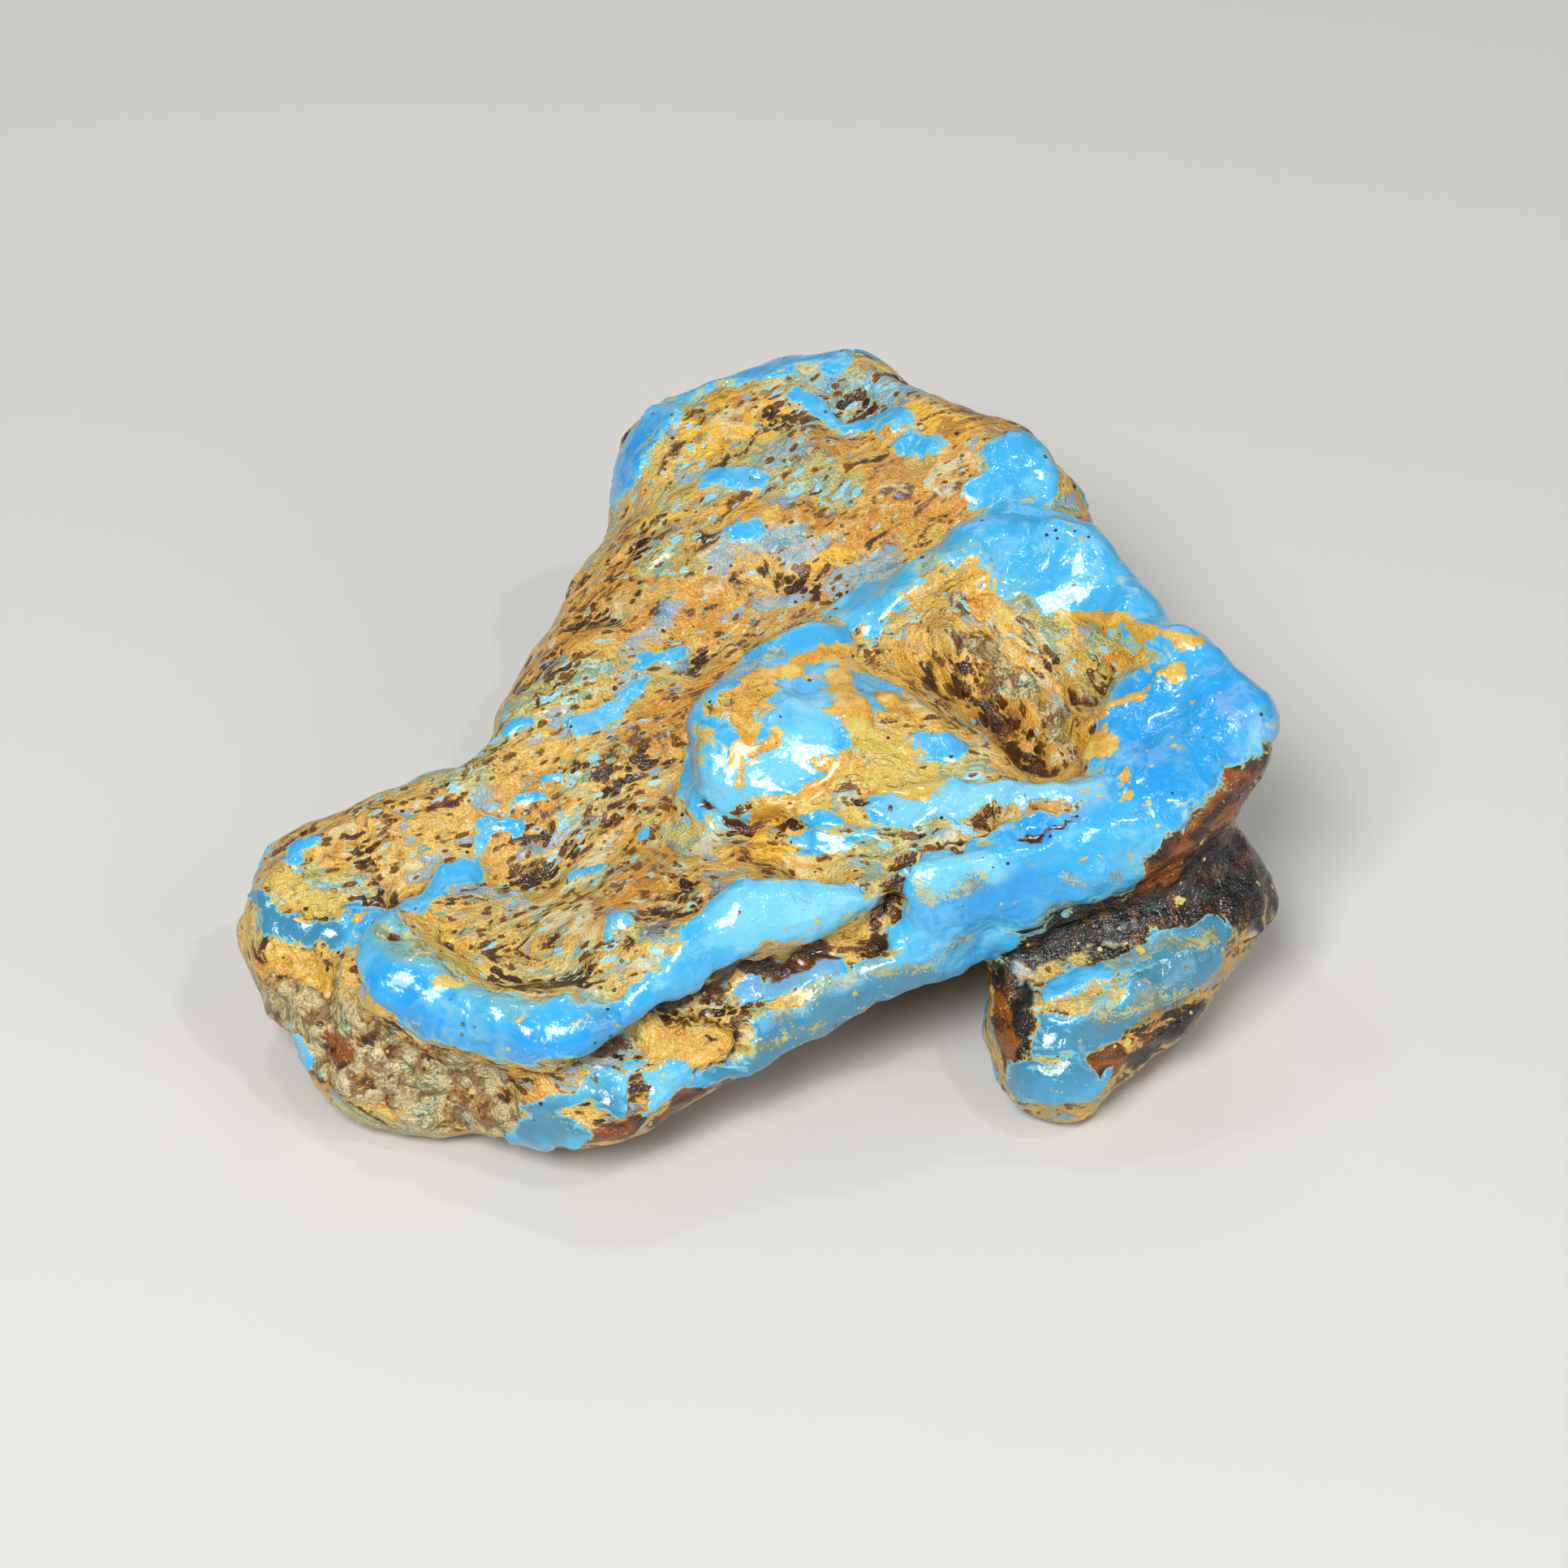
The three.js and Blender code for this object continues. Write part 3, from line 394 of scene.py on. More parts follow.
            2.0, (21.4, -15.2, 13), (22.9, -14.3, 13.6), (24.7, -13, 15), (26.5, -11.4, 15.3),
            (28.4, -9.2, 16.6),
        ),
        (1.2, (12.6, -18, 7), (13.4, -19.2, 5.6), (13.8, -20.6, 4)),
        (1.0, (18.8, -21.5, 4.8), (20.6, -20.8, 4.8)),
        (0.9, (-9.4, -26.9, 4.9), (-7.4, -26.8, 5), (-6.4, -26.2, 5.4)),
        (0.8, (-23.9, -21.1, 6.4), (-23.4, -21.5, 6.2)),
        (0.8, (-5.2, -25.5, 4.3), (-4, -24.7, 5.3), (-2.1, -23.6, 5.7), (0.5, -22.2, 5.1)),
    ],
    "azure": [
        (4.2, (21, -7.5, 18), (23, -11.5, 18), (25.5, -9, 18.5)),
        (1.6, (-20.5, -21.2, 10.5), (-17.5, -23.5, 10), (-13, -25.6, 10.2), (-7, -24.2, 10.3)),
        (1.8, (10, -18, 13.3), (16, -16.5, 13.6)),
        (1.4, (-6, 19, 19), (-8, 17, 17.5)),
        (0.8, (12.8, -14.2, 15.8), (15.8, -14.5, 16.4)),
    ],
    "thin": [
        (2.0, (-1, -19.8, 14), (2, -18.8, 14.5), (4.5, -18, 14.2)),
        (2.0, (-1, -10.5, 16), (2, -9.5, 17), (3.5, -7, 18)),
        (1.2, (8, -12, 16), (14, -12.3, 16.8), (18, -12, 17)),
        (1.0, (9, -17, 15), (12.5, -16.4, 15.5)),
        (1.5, (15.5, -20, 6.5), (20, -18.6, 7.5)),
    ],
    "veil": [
        (1.4, (-2, 7.5, 18.5), (-0.5, 9, 19.5), (3, 8, 18.5)),
        (0.8, (-4.5, 14.5, 19), (-1.5, 14, 19.5), (-0.5, 13.5, 19.5)),
        (0.9, (-7.5, -1, 15.5), (-6.5, 0.5, 16), (-4.5, 1, 16)),
        (0.9, (-9.5, -3, 14.5), (-8.5, -4, 14.5)),
        (0.8, (-7, 1.5, 16.5), (-5, 5, 17.5)),
        (0.8, (0, 4.5, 17), (2.5, 5.5, 17.5)),
        (1.5, (5, 6, 18), (6.5, 7, 18), (7.5, 5.5, 18.5)),
        (0.8, (-13, -1.5, 14.5), (-12, -2.5, 14)),
        (0.9, (-9.2, -12.6, 12.3), (-7.6, -13, 12.6)),
        (0.8, (-12.5, -14.5, 11), (-11.5, -15, 11)),
        (1.0, (-14.5, -13.8, 11), (-17, -13, 11)),
        (1.6, (12.8, -17, 8.4), (14.8, -17, 8.8)),
        # the back
        (1.3, (7.5, 18.5, 20.5), (10, 18, 20.5)),
        (1.2, (9, 16, 20.5), (10, 15.8, 20.5)),
        (1.6, (-1.5, 16, 20), (2, 15.5, 20.5)),
        (1.5, (4, 21.5, 21), (9, 20.5, 21)),
    ],
    "lavender": [
        (1.0, (-7, 1.5, 16.5), (-5, 5, 17.5)),
        (1.0, (-3, -5, 17), (-0.5, -3, 18)),
        (1.0, (-4, -22.5, 11), (-6, -24.5, 9.8)),
        (1.5, (18, -13, 16.8), (12, -12.4, 16.5), (8, -12, 16.2)),
        (0.9, (26.3, -7.5, 19), (28, -8.3, 18.3)),
        (1.5, (-25.8, -17.5, 7), (-27.8, -15, 7.5)),
        (1.2, (9, -19.3, 8.8), (4, -21, 7.8)),
        (1.0, (-1.5, -20.9, 10.3), (3.9, -19.5, 10.6)),
    ],
}  # fmt: skip
# The middle lines that the crust's fibres run along, and the front's layers under them.
GRAIN_LINES = [
    # from the back right down the left flank to the left tip
    [
        (17, 12.5, 20.5), (11.5, 8.5, 19), (7, 3.5, 18.5), (2, -1.5, 18.5), (-4, -4.5, 15),
        (-8, -7, 14), (-13.5, -11, 11.5), (-18, -13, 11), (-22, -15, 11), (-25.5, -16, 9),
    ],
    # the front edge
    [
        (-22, -18, 11.5), (-20.5, -21.5, 11), (-17.5, -23.5, 9.5), (-13, -25.5, 10.5), (-8.5, -25, 10),
        (-4, -22, 10), (1, -20, 11), (6.5, -18, 12), (10, -18, 14), (16, -16.5, 13), (21, -15, 14),
        (23.5, -13.5, 16.5), (27.5, -9.5, 17.5),
    ],
    # the ravine, the ridge behind it and the dome's foot
    [(11, 1, 17.5), (13, -1, 15.5), (15, -5, 15), (16.5, -8, 15.5)],
    [(7, 3.5, 18.5), (11.5, 5, 20.5), (16, 7, 21), (20, 4, 20.5), (24, -1, 20), (28.5, -7.5, 19)],
    [
        (-4, -4.5, 15.5), (-3.5, -9.5, 16), (-1.5, -11.5, 15), (2, -12.5, 15), (7.5, -12.5, 16),
        (12, -12, 16.5),
    ],
]  # fmt: skip
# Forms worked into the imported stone, drawn as the strokes are. Each is FORM_HEIGHT of its half width high or
# deep.
RAISED = [
    # the wrinkles behind the roll
    (0.45, (3.9, -12.9, 15), (6.3, -13.9, 15), (9.7, -13.7, 15.7), (13.1, -12.9, 16.2), (16, -12.3, 17)),
    (0.45, (4.8, -14.6, 14.5), (7.9, -15.2, 15), (10.6, -14.8, 15.6), (13.3, -14.2, 16)),
    (0.6, (8.5, -16.8, 15.2), (12.5, -16.2, 15.6), (16.5, -15.4, 16.2)),
    # the folds down the dome's right side
    (0.5, (7.7, 0.8, 17.6), (10.2, -2.7, 16.6), (12.5, -7, 16.8), (14.6, -10.2, 16.4)),
    (0.45, (6.8, 0.2, 17.6), (8.9, -5.6, 18), (11.3, -9.2, 17.2)),
    # ribs from the ridge down to the corner
    (0.5, (16.6, 1.8, 18.3), (18.9, 1.1, 18.8), (21.5, -0.9, 19.7), (25.4, -3.7, 19.9)),
    (0.5, (17, -2, 16.4), (19.5, -2.8, 17), (21.3, -4.1, 18.5), (25.3, -5.9, 19.6)),
    # the ridge's lumps
    (1.6, (12.5, 6.6, 20.8), (13.5, 7.4, 21)),
    (1.4, (17.5, 6.2, 21), (18.5, 5.6, 21)),
    (1.2, (9.5, 4.2, 19.8), (10.5, 4.6, 20.2)),
    # the whorl under the lip and the beads beside the lip
    (0.5, (-6.3, -24.1, 8.3), (-5, -23, 9.2), (-2.3, -22.3, 9.1), (-1.2, -22.7, 8.6), (-1.9, -23.4, 7.7)),
    (0.8, (-7.3, -19, 12.5), (-6.6, -19.4, 12.5)),
    (1.2, (-18.5, -19.5, 11.2), (-17.5, -20.5, 11.2)),
    (0.9, (-15.5, -22.5, 11), (-14, -23.2, 11)),
    # the lens's upper edge
    (0.8, (-1, -18.3, 14.6), (2, -17.8, 14.7), (5, -17.3, 14.3)),
]
SUNK = [
    # the ravine
    (1.7, (11, 1.2, 17.5), (12.8, -1.2, 15.5), (15, -4.8, 14.8), (16.3, -7.4, 15.2)),
    (1.0, (18.5, -2.4, 16.5), (19, -2.6, 16.5)),
    # between the wrinkles
    (0.5, (3, -13.6, 14.6), (6.5, -14.6, 14.6), (9.7, -14.4, 15.4), (13, -13.6, 16)),
    (0.5, (6.5, -15.8, 14.5), (9.5, -15.6, 15.3), (12.5, -15.1, 15.8)),
    # the crevice under the lip and the lens
    (
        0.9, (-9, -25.3, 8.6), (-5.5, -23.2, 9.5), (-3, -22, 9.7), (1.5, -20.1, 10.8), (5, -18.8, 11.4),
        (7.3, -17.6, 13),
    ),
    # the crease between the ridge and the band behind it, and the one round the dome's foot
    (0.8, (8.7, 3.6, 19.7), (12, 6.1, 20.7), (15.4, 9, 20.7), (18.5, 8, 20.5)),
    (0.9, (-4.3, -5.5, 15), (-3.8, -9, 15.3), (-2, -11.3, 15), (1, -12.3, 14.8)),
    # the wedge between the lip and the left tip
    (1.0, (-19.7, -12.8, 11.3), (-21, -14.8, 11.1), (-22.3, -16.8, 10.8), (-22.4, -20, 10.3)),
    # the valley's two hollows
    (1.6, (-14.5, -12, 11.5), (-12.5, -12.4, 11.5)),
    (1.3, (-14, -20.3, 11.3), (-11, -20.8, 12)),
    (0.9, (2.2, -15, 14), (3.6, -15.6, 14)),
]  # fmt: skip
SIGHT = Vector((0, -0.766, 0.643))  # towards the side that the strokes describe
STROKED_LINE = [(-15, -16, 12), (22, -14, 15)]  # the middle of that side
STROKED_REACH = 9.0  # mm from that line that the strokes reach


# ---------------------------------------------------------------- settings
def linear(code):
    """The linear red, green, blue and alpha of an sRGB hex colour."""
    parts = [int(code[i : i + 2], 16) / 255 for i in (1, 3, 5)]
    return tuple(c / 12.92 if c <= 0.04045 else ((c + 0.055) / 1.055) ** 2.4 for c in parts) + (1.0,)


COLOURS = {
    "sky": ("#3AA6DA", "Blue resin, the body of the layer"),
    "azure": ("#1D93D8", "Blue resin where it is deepest"),
    "cyan": ("#7CC9E2", "Blue resin where it thins"),
    "lavender": ("#84A6DA", "Blue resin clouded from within"),
    "haze": ("#86A0AE", "Thin grey-blue veil over the crust"),
    "cloud": ("#5FACD0", "Thick veil, all but blue"),
    "teal": ("#70AAA8", "The thin green edge of the blue"),
    "pale": ("#D8BF6C", "Pale fibres and the rims of pools"),
    "matrix": ("#CCA345", "Gold matrix of the crust"),
    "tan": ("#B4924A", "Middle tone of the fibres"),
    "ochre": ("#AC7B2A", "Shaded ochre of the crust"),
    "umber": ("#693E10", "Brown resin between the fibres"),
    "bark": ("#311B09", "Darkest resin, in clefts and pits"),
    "gold": ("#D8A23A", "Gold crust over the blue"),
    "rust": ("#BC741A", "Orange of the crust"),
    "yellow": ("#D69812", "Bright yellow bloom"),
    "lemon": ("#E0B83C", "Its pale tops"),
    "lime": ("#C0B65C", "Yellow-green edge of the crust"),
    # painted shade: a darker blue that stands in for the shade on the knob and the low front
    "petrol_shade": ("#377894", "Blue resin dulled by weathering"),
    "olive": ("#7E7436", "Olive wash"),
    "moss": ("#6C9484", "Green wash"),
    "stone": ("#A08A5A", "Earthy matrix on the broken side"),
    "chalk": ("#D0C397", "Pale crumbs on the broken side"),
    # soot, ash and slate: the knob's own dark grains and weathering, darkened further as painted shade under
    # the overhang
    "soot_and_shade": ("#16120F", "Black grains on the knob"),
    "ash": ("#352F29", "Grey weathering on the knob"),
    "slate": ("#303B36", "Grey-green weathering on the knob"),
    "ember": ("#8F4C0E", "Clear brown resin lit from within"),
}

# How a pattern's tone, from 0 to 1, turns into colours: pairs of the tone and the colour it stands for.
RAMPS = {
    # the crust: its usual gold, then its green, orange and yellow areas
    "earthy": [
        (0.10, "haze"), (0.20, "tan"), (0.27, "matrix"), (0.34, "ochre"), (0.39, "pale"), (0.45, "matrix"),
        (0.50, "gold"), (0.54, "pale"), (0.60, "matrix"), (0.66, "ochre"), (0.71, "pale"), (0.77, "rust"),
        (0.86, "umber"), (0.95, "bark"),
    ],
    "mossy": [
        (0.15, "teal"), (0.28, "moss"), (0.36, "lime"), (0.43, "moss"), (0.49, "pale"), (0.55, "lime"),
        (0.62, "moss"), (0.70, "olive"), (0.76, "lime"), (0.84, "umber"), (0.95, "bark"),
    ],
    "glowing": [
        (0.12, "umber"), (0.22, "ochre"), (0.32, "rust"), (0.40, "gold"), (0.46, "rust"), (0.53, "ochre"),
        (0.58, "gold"), (0.66, "rust"), (0.74, "ochre"), (0.84, "umber"), (0.95, "bark"),
    ],
    "sunny": [
        (0.14, "ochre"), (0.28, "yellow"), (0.42, "lemon"), (0.52, "yellow"), (0.60, "lemon"),
        (0.70, "yellow"), (0.80, "ochre"), (0.92, "umber"),
    ],
    # the crumbs of the earthy matrix
    "earth": [
        (0.08, "bark"), (0.18, "umber"), (0.26, "ochre"), (0.34, "stone"), (0.42, "chalk"), (0.49, "stone"),
        (0.56, "chalk"), (0.63, "stone"), (0.70, "olive"), (0.77, "chalk"), (0.85, "moss"), (0.94, "umber"),
    ],
    # the grains on the knob, darkened in part as painted shade under the overhang
    "soot_and_shade_tones": [
        (0.16, "slate"), (0.27, "soot_and_shade"), (0.48, "soot_and_shade"), (0.56, "ash"), (0.62, "soot_and_shade"), (0.76, "umber"),
        (0.84, "soot_and_shade"), (0.96, "gold"),
    ],
    # the blue layer, from its edge inwards
    "wax": [
        (0.0, "ochre"), (0.03, "pale"), (0.07, "lime"), (0.12, "teal"), (0.22, "cyan"), (0.38, "sky"),
        (1.0, "sky"),
    ],
    # the gold crust over the blue
    "crustlet": [
        (0.12, "umber"), (0.22, "ochre"), (0.30, "rust"), (0.36, "gold"), (0.43, "ochre"), (0.49, "gold"),
        (0.57, "matrix"), (0.63, "gold"), (0.70, "pale"), (0.82, "lime"),
    ],
}  # fmt: skip


class NuggetRelief(bpy.types.PropertyGroup):
    """How strongly the stone's skin is worked."""

    facet_cuts: IntProperty(
        name="Facet cuts", description="Rows each packed facet is split into", default=4, min=1, max=4
    )
    wax_lump: FloatProperty(
        name="Wax lumps", description="Height of the blue layer's soft lumps",
        default=0.28 * MM, unit="LENGTH", subtype="DISTANCE",
    )  # fmt: skip
    swell: FloatProperty(
        name="Blue swell", description="How far the blue layer stands over the crust",
        default=0.28 * MM, unit="LENGTH", subtype="DISTANCE",
    )  # fmt: skip
    fibre: FloatProperty(
        name="Fibres", description="Height of the crust's fibres",
        default=0.16 * MM, unit="LENGTH", subtype="DISTANCE",
    )  # fmt: skip
    strata: FloatProperty(
        name="Strata", description="Height of the layers on the steep sides",
        default=0.25 * MM, unit="LENGTH", subtype="DISTANCE",
    )  # fmt: skip
    cleft: FloatProperty(
        name="Clefts", description="Depth of the dark clefts",
        default=0.6 * MM, unit="LENGTH", subtype="DISTANCE",
    )  # fmt: skip


class NuggetColours(bpy.types.PropertyGroup):
    """The finish's colours, one for each entry of COLOURS."""

    __annotations__ = {
        key: FloatVectorProperty(
            name=key.capitalize(), description=words,
            size=4, min=0, max=1, subtype="COLOR", default=linear(code),
        )
        for key, (code, words) in COLOURS.items()
    }  # fmt: skip


class StageSettings(bpy.types.PropertyGroup):
    """The floor, the lamps and the camera."""

    floor_size: FloatProperty(
        name="Floor size", description="Side of the floor", default=3.0, unit="LENGTH", subtype="DISTANCE"
    )
    floor_colour: FloatVectorProperty(
        name="Floor colour", description="Pale matt floor",
        size=4, min=0, max=1, subtype="COLOR", default=linear("#CFCDC9"),
    )  # fmt: skip
    lens: FloatProperty(name="Lens", description="Focal length of the camera", default=100, unit="CAMERA")
    distance: FloatProperty(
        name="Camera distance", description="From the camera to the stone",
        default=0.252, unit="LENGTH", subtype="DISTANCE",
    )  # fmt: skip
    elevation: FloatProperty(
        name="Camera elevation", description="Height of the camera over the horizon",
        default=math.radians(40), unit="ROTATION", subtype="ANGLE",
    )  # fmt: skip


# ---------------------------------------------------------------- numbers over the whole skin
SLOPES = 1024  # random slopes that the noise draws on
SCATTER = (73856093, 19349663, 83492791)  # large primes, which scatter a grid's corners over those slopes
GRID_SHIFT = 0.37  # cells by which each seed moves the noise's grid
LUMP_HEIGHT = 1.6  # brings the noise's heights to about -1 to 1
WELD = 0.001 * MM  # metres within which two packed corners are one
BOW = 0.75  # share of the way that a facet bows out to its corners' tangent planes
ROUNDING = 6  # passes that round what edges the bowed facets leave
BROAD = 90  # passes that leave only the stone's broad form
PROUD = 0.45  # mm over the broad form at which a lump counts as standing out
DRAWN_OUT = 2.4  # how many times as long as wide the finish's fibrous patterns are
SQUEEZED = 3.2  # the same for the relief's fibres
FLOOR_FADE = 0.8  # mm above the floor within which the relief fades out
FORM_HEIGHT = 0.6  # height of a form worked into the stone, as a share of its half width
PIT_DEPTH = 0.4  # depth of the brown resin's areas, as a share of the clefts' depth
GOLD_HEIGHT = 0.12  # mm that the gold crust stands over the blue

# How a layer's edge strays from its strokes: the lumps' weight and size, both in mm, and seed.
WANDER = [(0.45, 4.5, 41), (0.5, 1.9, 51), (0.25, 0.9, 61)]
# Areas that layers have all over the stone, besides their strokes. Each is lumps times a weight, plus a base:
# whether the lumps are drawn out along the fibres, their size in mm, seed and weight, the base, and what it
# gains where the stone stands out, on steep sides and below.
AREAS = {
    "pale": (True, 3.5, 16, 0.6, 0, 0.1, 0, 0),
    "warm": (True, 4, 17, 0.9, -0.1, 0, -0.25, 0),
    "green": (True, 4.5, 18, 0.8, -0.2, 0, 0, 0),
    "veil": (True, 3.2, 23, 0.8, -0.62, 0, 0, 0),
    "yellow": (True, 4.5, 25, 0.8, -0.6, 0, 0, 0),
    "dust": (True, 3, 27, 0.9, -0.6, 0, 0, 0),
    "teal": (False, 5, 26, 0.8, -0.55, 0, 0, 0),
    # painted shade: the darkened blue, more of it where the skin faces down
    "painted_shade": (False, 6, 28, 0.8, -0.6, 0, 0, 0.2),
    "thin": (False, 4.2, 24, 0.8, -0.25, 0, 0, 0),
    "azure": (False, 5.5, 20, 0.6, -0.3, 0, 0, 0),
    "lavender": (False, 4.5, 22, 0.7, -0.4, 0, 0, 0),
}


def ease(low, high, values):
    """0 below low, 1 above high, and the smooth cubic 3t^2 - 2t^3 between them."""
    t = np.clip((values - low) / (high - low), 0, 1)
    return t * t * (3 - 2 * t)


def lumps(points, size, seed):
    """Gradient noise from about -1 to 1, with lumps about one size across.

    Each corner of a grid has a random slope. A point takes the heights that its cell's eight corners' slopes
    give it, weighted by the quintic ease 6t^5 - 15t^4 + 10t^3 along each axis.
    """
    slopes = np.random.default_rng(seed).normal(size=(SLOPES, 3))
    slopes /= np.linalg.norm(slopes, axis=1)[:, None]
    place = points / size + GRID_SHIFT * seed
    cell = np.floor(place).astype(np.int64)
    part = place - cell
    blend = part**3 * (part * (part * 6 - 15) + 10)
    total = np.zeros(len(points))
    for corner in product((0, 1), repeat=3):
        at = (cell + corner) * SCATTER
        key = at[:, 0] ^ at[:, 1] ^ at[:, 2]
        share = np.prod(np.where(corner, blend, 1 - blend), axis=1)
        total += share * ((part - corner) * slopes[(key ^ (key >> 11)) & (SLOPES - 1)]).sum(axis=1)
    return LUMP_HEIGHT * total


def distance_to(points, path):
    """The distance from each point to a path: the least of those to its straight pieces."""
    path = np.array(path, float)
    best = np.full(len(points), np.inf)
    for start, end in zip(path[:-1], path[1:]):
        along = end - start
        t = np.clip((points - start) @ along / (along @ along), 0, 1)
        best = np.minimum(best, np.linalg.norm(points - start - t[:, None] * along, axis=1))
    return best


def nearness(points, stroke):
    """1 on a stroke's middle line, 0.5 at its half width and 0 far off: 2 ** -(distance / half width)^2."""
    half_width, *path = stroke
    return 2 ** -((distance_to(points, path) / half_width) ** 2)


def inside(points, strokes):
    """How far inside a layer a point lies: 1 on a stroke's middle line, 0 at its half width, -1 far off."""
    return np.max([2 * nearness(points, stroke) - 1 for stroke in strokes], axis=0)


def worked(points, strokes):
    """How far the forms' strokes move each point in mm: FORM_HEIGHT of a half width on a middle line."""
    return np.max([FORM_HEIGHT * stroke[0] * nearness(points, stroke) for stroke in strokes], axis=0)


class Skin:
    """The stone's outside as whole arrays: points in mm, triangles, and the links between neighbours."""

    def __init__(self, points, faces):
        self.points, self.faces = points, faces
        pairs = np.concatenate([faces[:, [0, 1]], faces[:, [1, 2]], faces[:, [2, 0]]])
        self.links = np.concatenate([pairs, pairs[:, ::-1]])
        self.count = np.bincount(self.links[:, 0], minlength=len(points))

    def normals(self):
        """Each point's outward direction: the sum of its triangles' area vectors, made one long."""
        a, b, c = (self.points[self.faces[:, i]] for i in range(3))
        area = np.cross(b - a, c - a)
        total = self.gather(self.faces.ravel(), np.repeat(area, 3, axis=0))
        return total / np.linalg.norm(total, axis=1)[:, None]

    def gather(self, index, values):
        """The sum of the rows of values that share an index."""
        return np.stack([np.bincount(index, v, len(self.points)) for v in values.T], axis=1)

    def averaged(self, values, passes):
        """Values after each is moved halfway to its neighbours' mean, that many times."""
        for _ in range(passes):
            mean = self.gather(self.links[:, 0], values[self.links[:, 1]]) / self.count[:, None]
            values = (values + mean) / 2
        return values


def bowed_skin(points, normals, faces, cuts):
    """Splits each facet into cuts * cuts smaller ones that bow out to the round form it stands for.

    A point of the small grid has the weights u, v and w of the facet's corners. It lies the share BOW of the
    way from its flat place to the mean, by those weights, of its projections on the corners' tangent planes.
    A place on an edge or a corner is named by the corners it has a weight of, so facets share it.
    """
    weights = np.array([(i, j, cuts - i - j) for i in range(cuts + 1) for j in range(cuts + 1 - i)])
    share = weights / cuts
    corner, normal = points[faces], normals[faces]
    flat = np.einsum("gk,fkx->fgx", share, corner)
    lift = np.einsum("fgkx,fkx->fgk", flat[:, :, None] - corner[:, None], normal)
    bowed = flat - BOW * np.einsum("gk,fgk,fkx->fgx", share, lift, normal)
    names = np.where(weights[None] > 0, faces[:, None] * (cuts + 1) + weights[None] + 1, 0)
    names = np.sort(names, axis=2)
    base = (len(points) + 2) * (cuts + 1)
    key = (names[:, :, 0] * base + names[:, :, 1]) * base + names[:, :, 2]
    _, first, same = np.unique(key.ravel(), return_index=True, return_inverse=True)
    row = {tuple(w[:2]): n for n, w in enumerate(weights)}
    small = []
    for i, j in row:
        if (i + 1, j) in row and (i, j + 1) in row:
            small.append((row[i, j], row[i + 1, j], row[i, j + 1]))
        if (i - 1, j) in row and (i, j - 1) in row:
            small.append((row[i, j], row[i - 1, j], row[i, j - 1]))
    index = same.reshape(key.shape)
    return Skin(bowed.reshape(-1, 3)[first], index[:, np.array(small)].reshape(-1, 3))


def packed_skin(cuts):
    """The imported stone's skin in mm, its loose triangles merged, made finer and bowed."""
    shell = bmesh.new()
    shell.from_mesh(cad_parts[STONE].data)
    bmesh.ops.remove_doubles(shell, verts=shell.verts, dist=WELD)
    bmesh.ops.triangulate(shell, faces=shell.faces)
    mesh = bpy.data.meshes.new("packed copy")
    shell.to_mesh(mesh)
    shell.free()
    points = np.empty(len(mesh.vertices) * 3)
    mesh.vertices.foreach_get("co", points)
    faces = np.empty(len(mesh.polygons) * 3, np.int32)
    mesh.polygons.foreach_get("vertices", faces)
    bpy.data.meshes.remove(mesh)
    coarse = Skin(points.reshape(-1, 3) / MM, faces.reshape(-1, 3).astype(np.int64))
    return bowed_skin(coarse.points, coarse.normals(), coarse.faces, cuts)


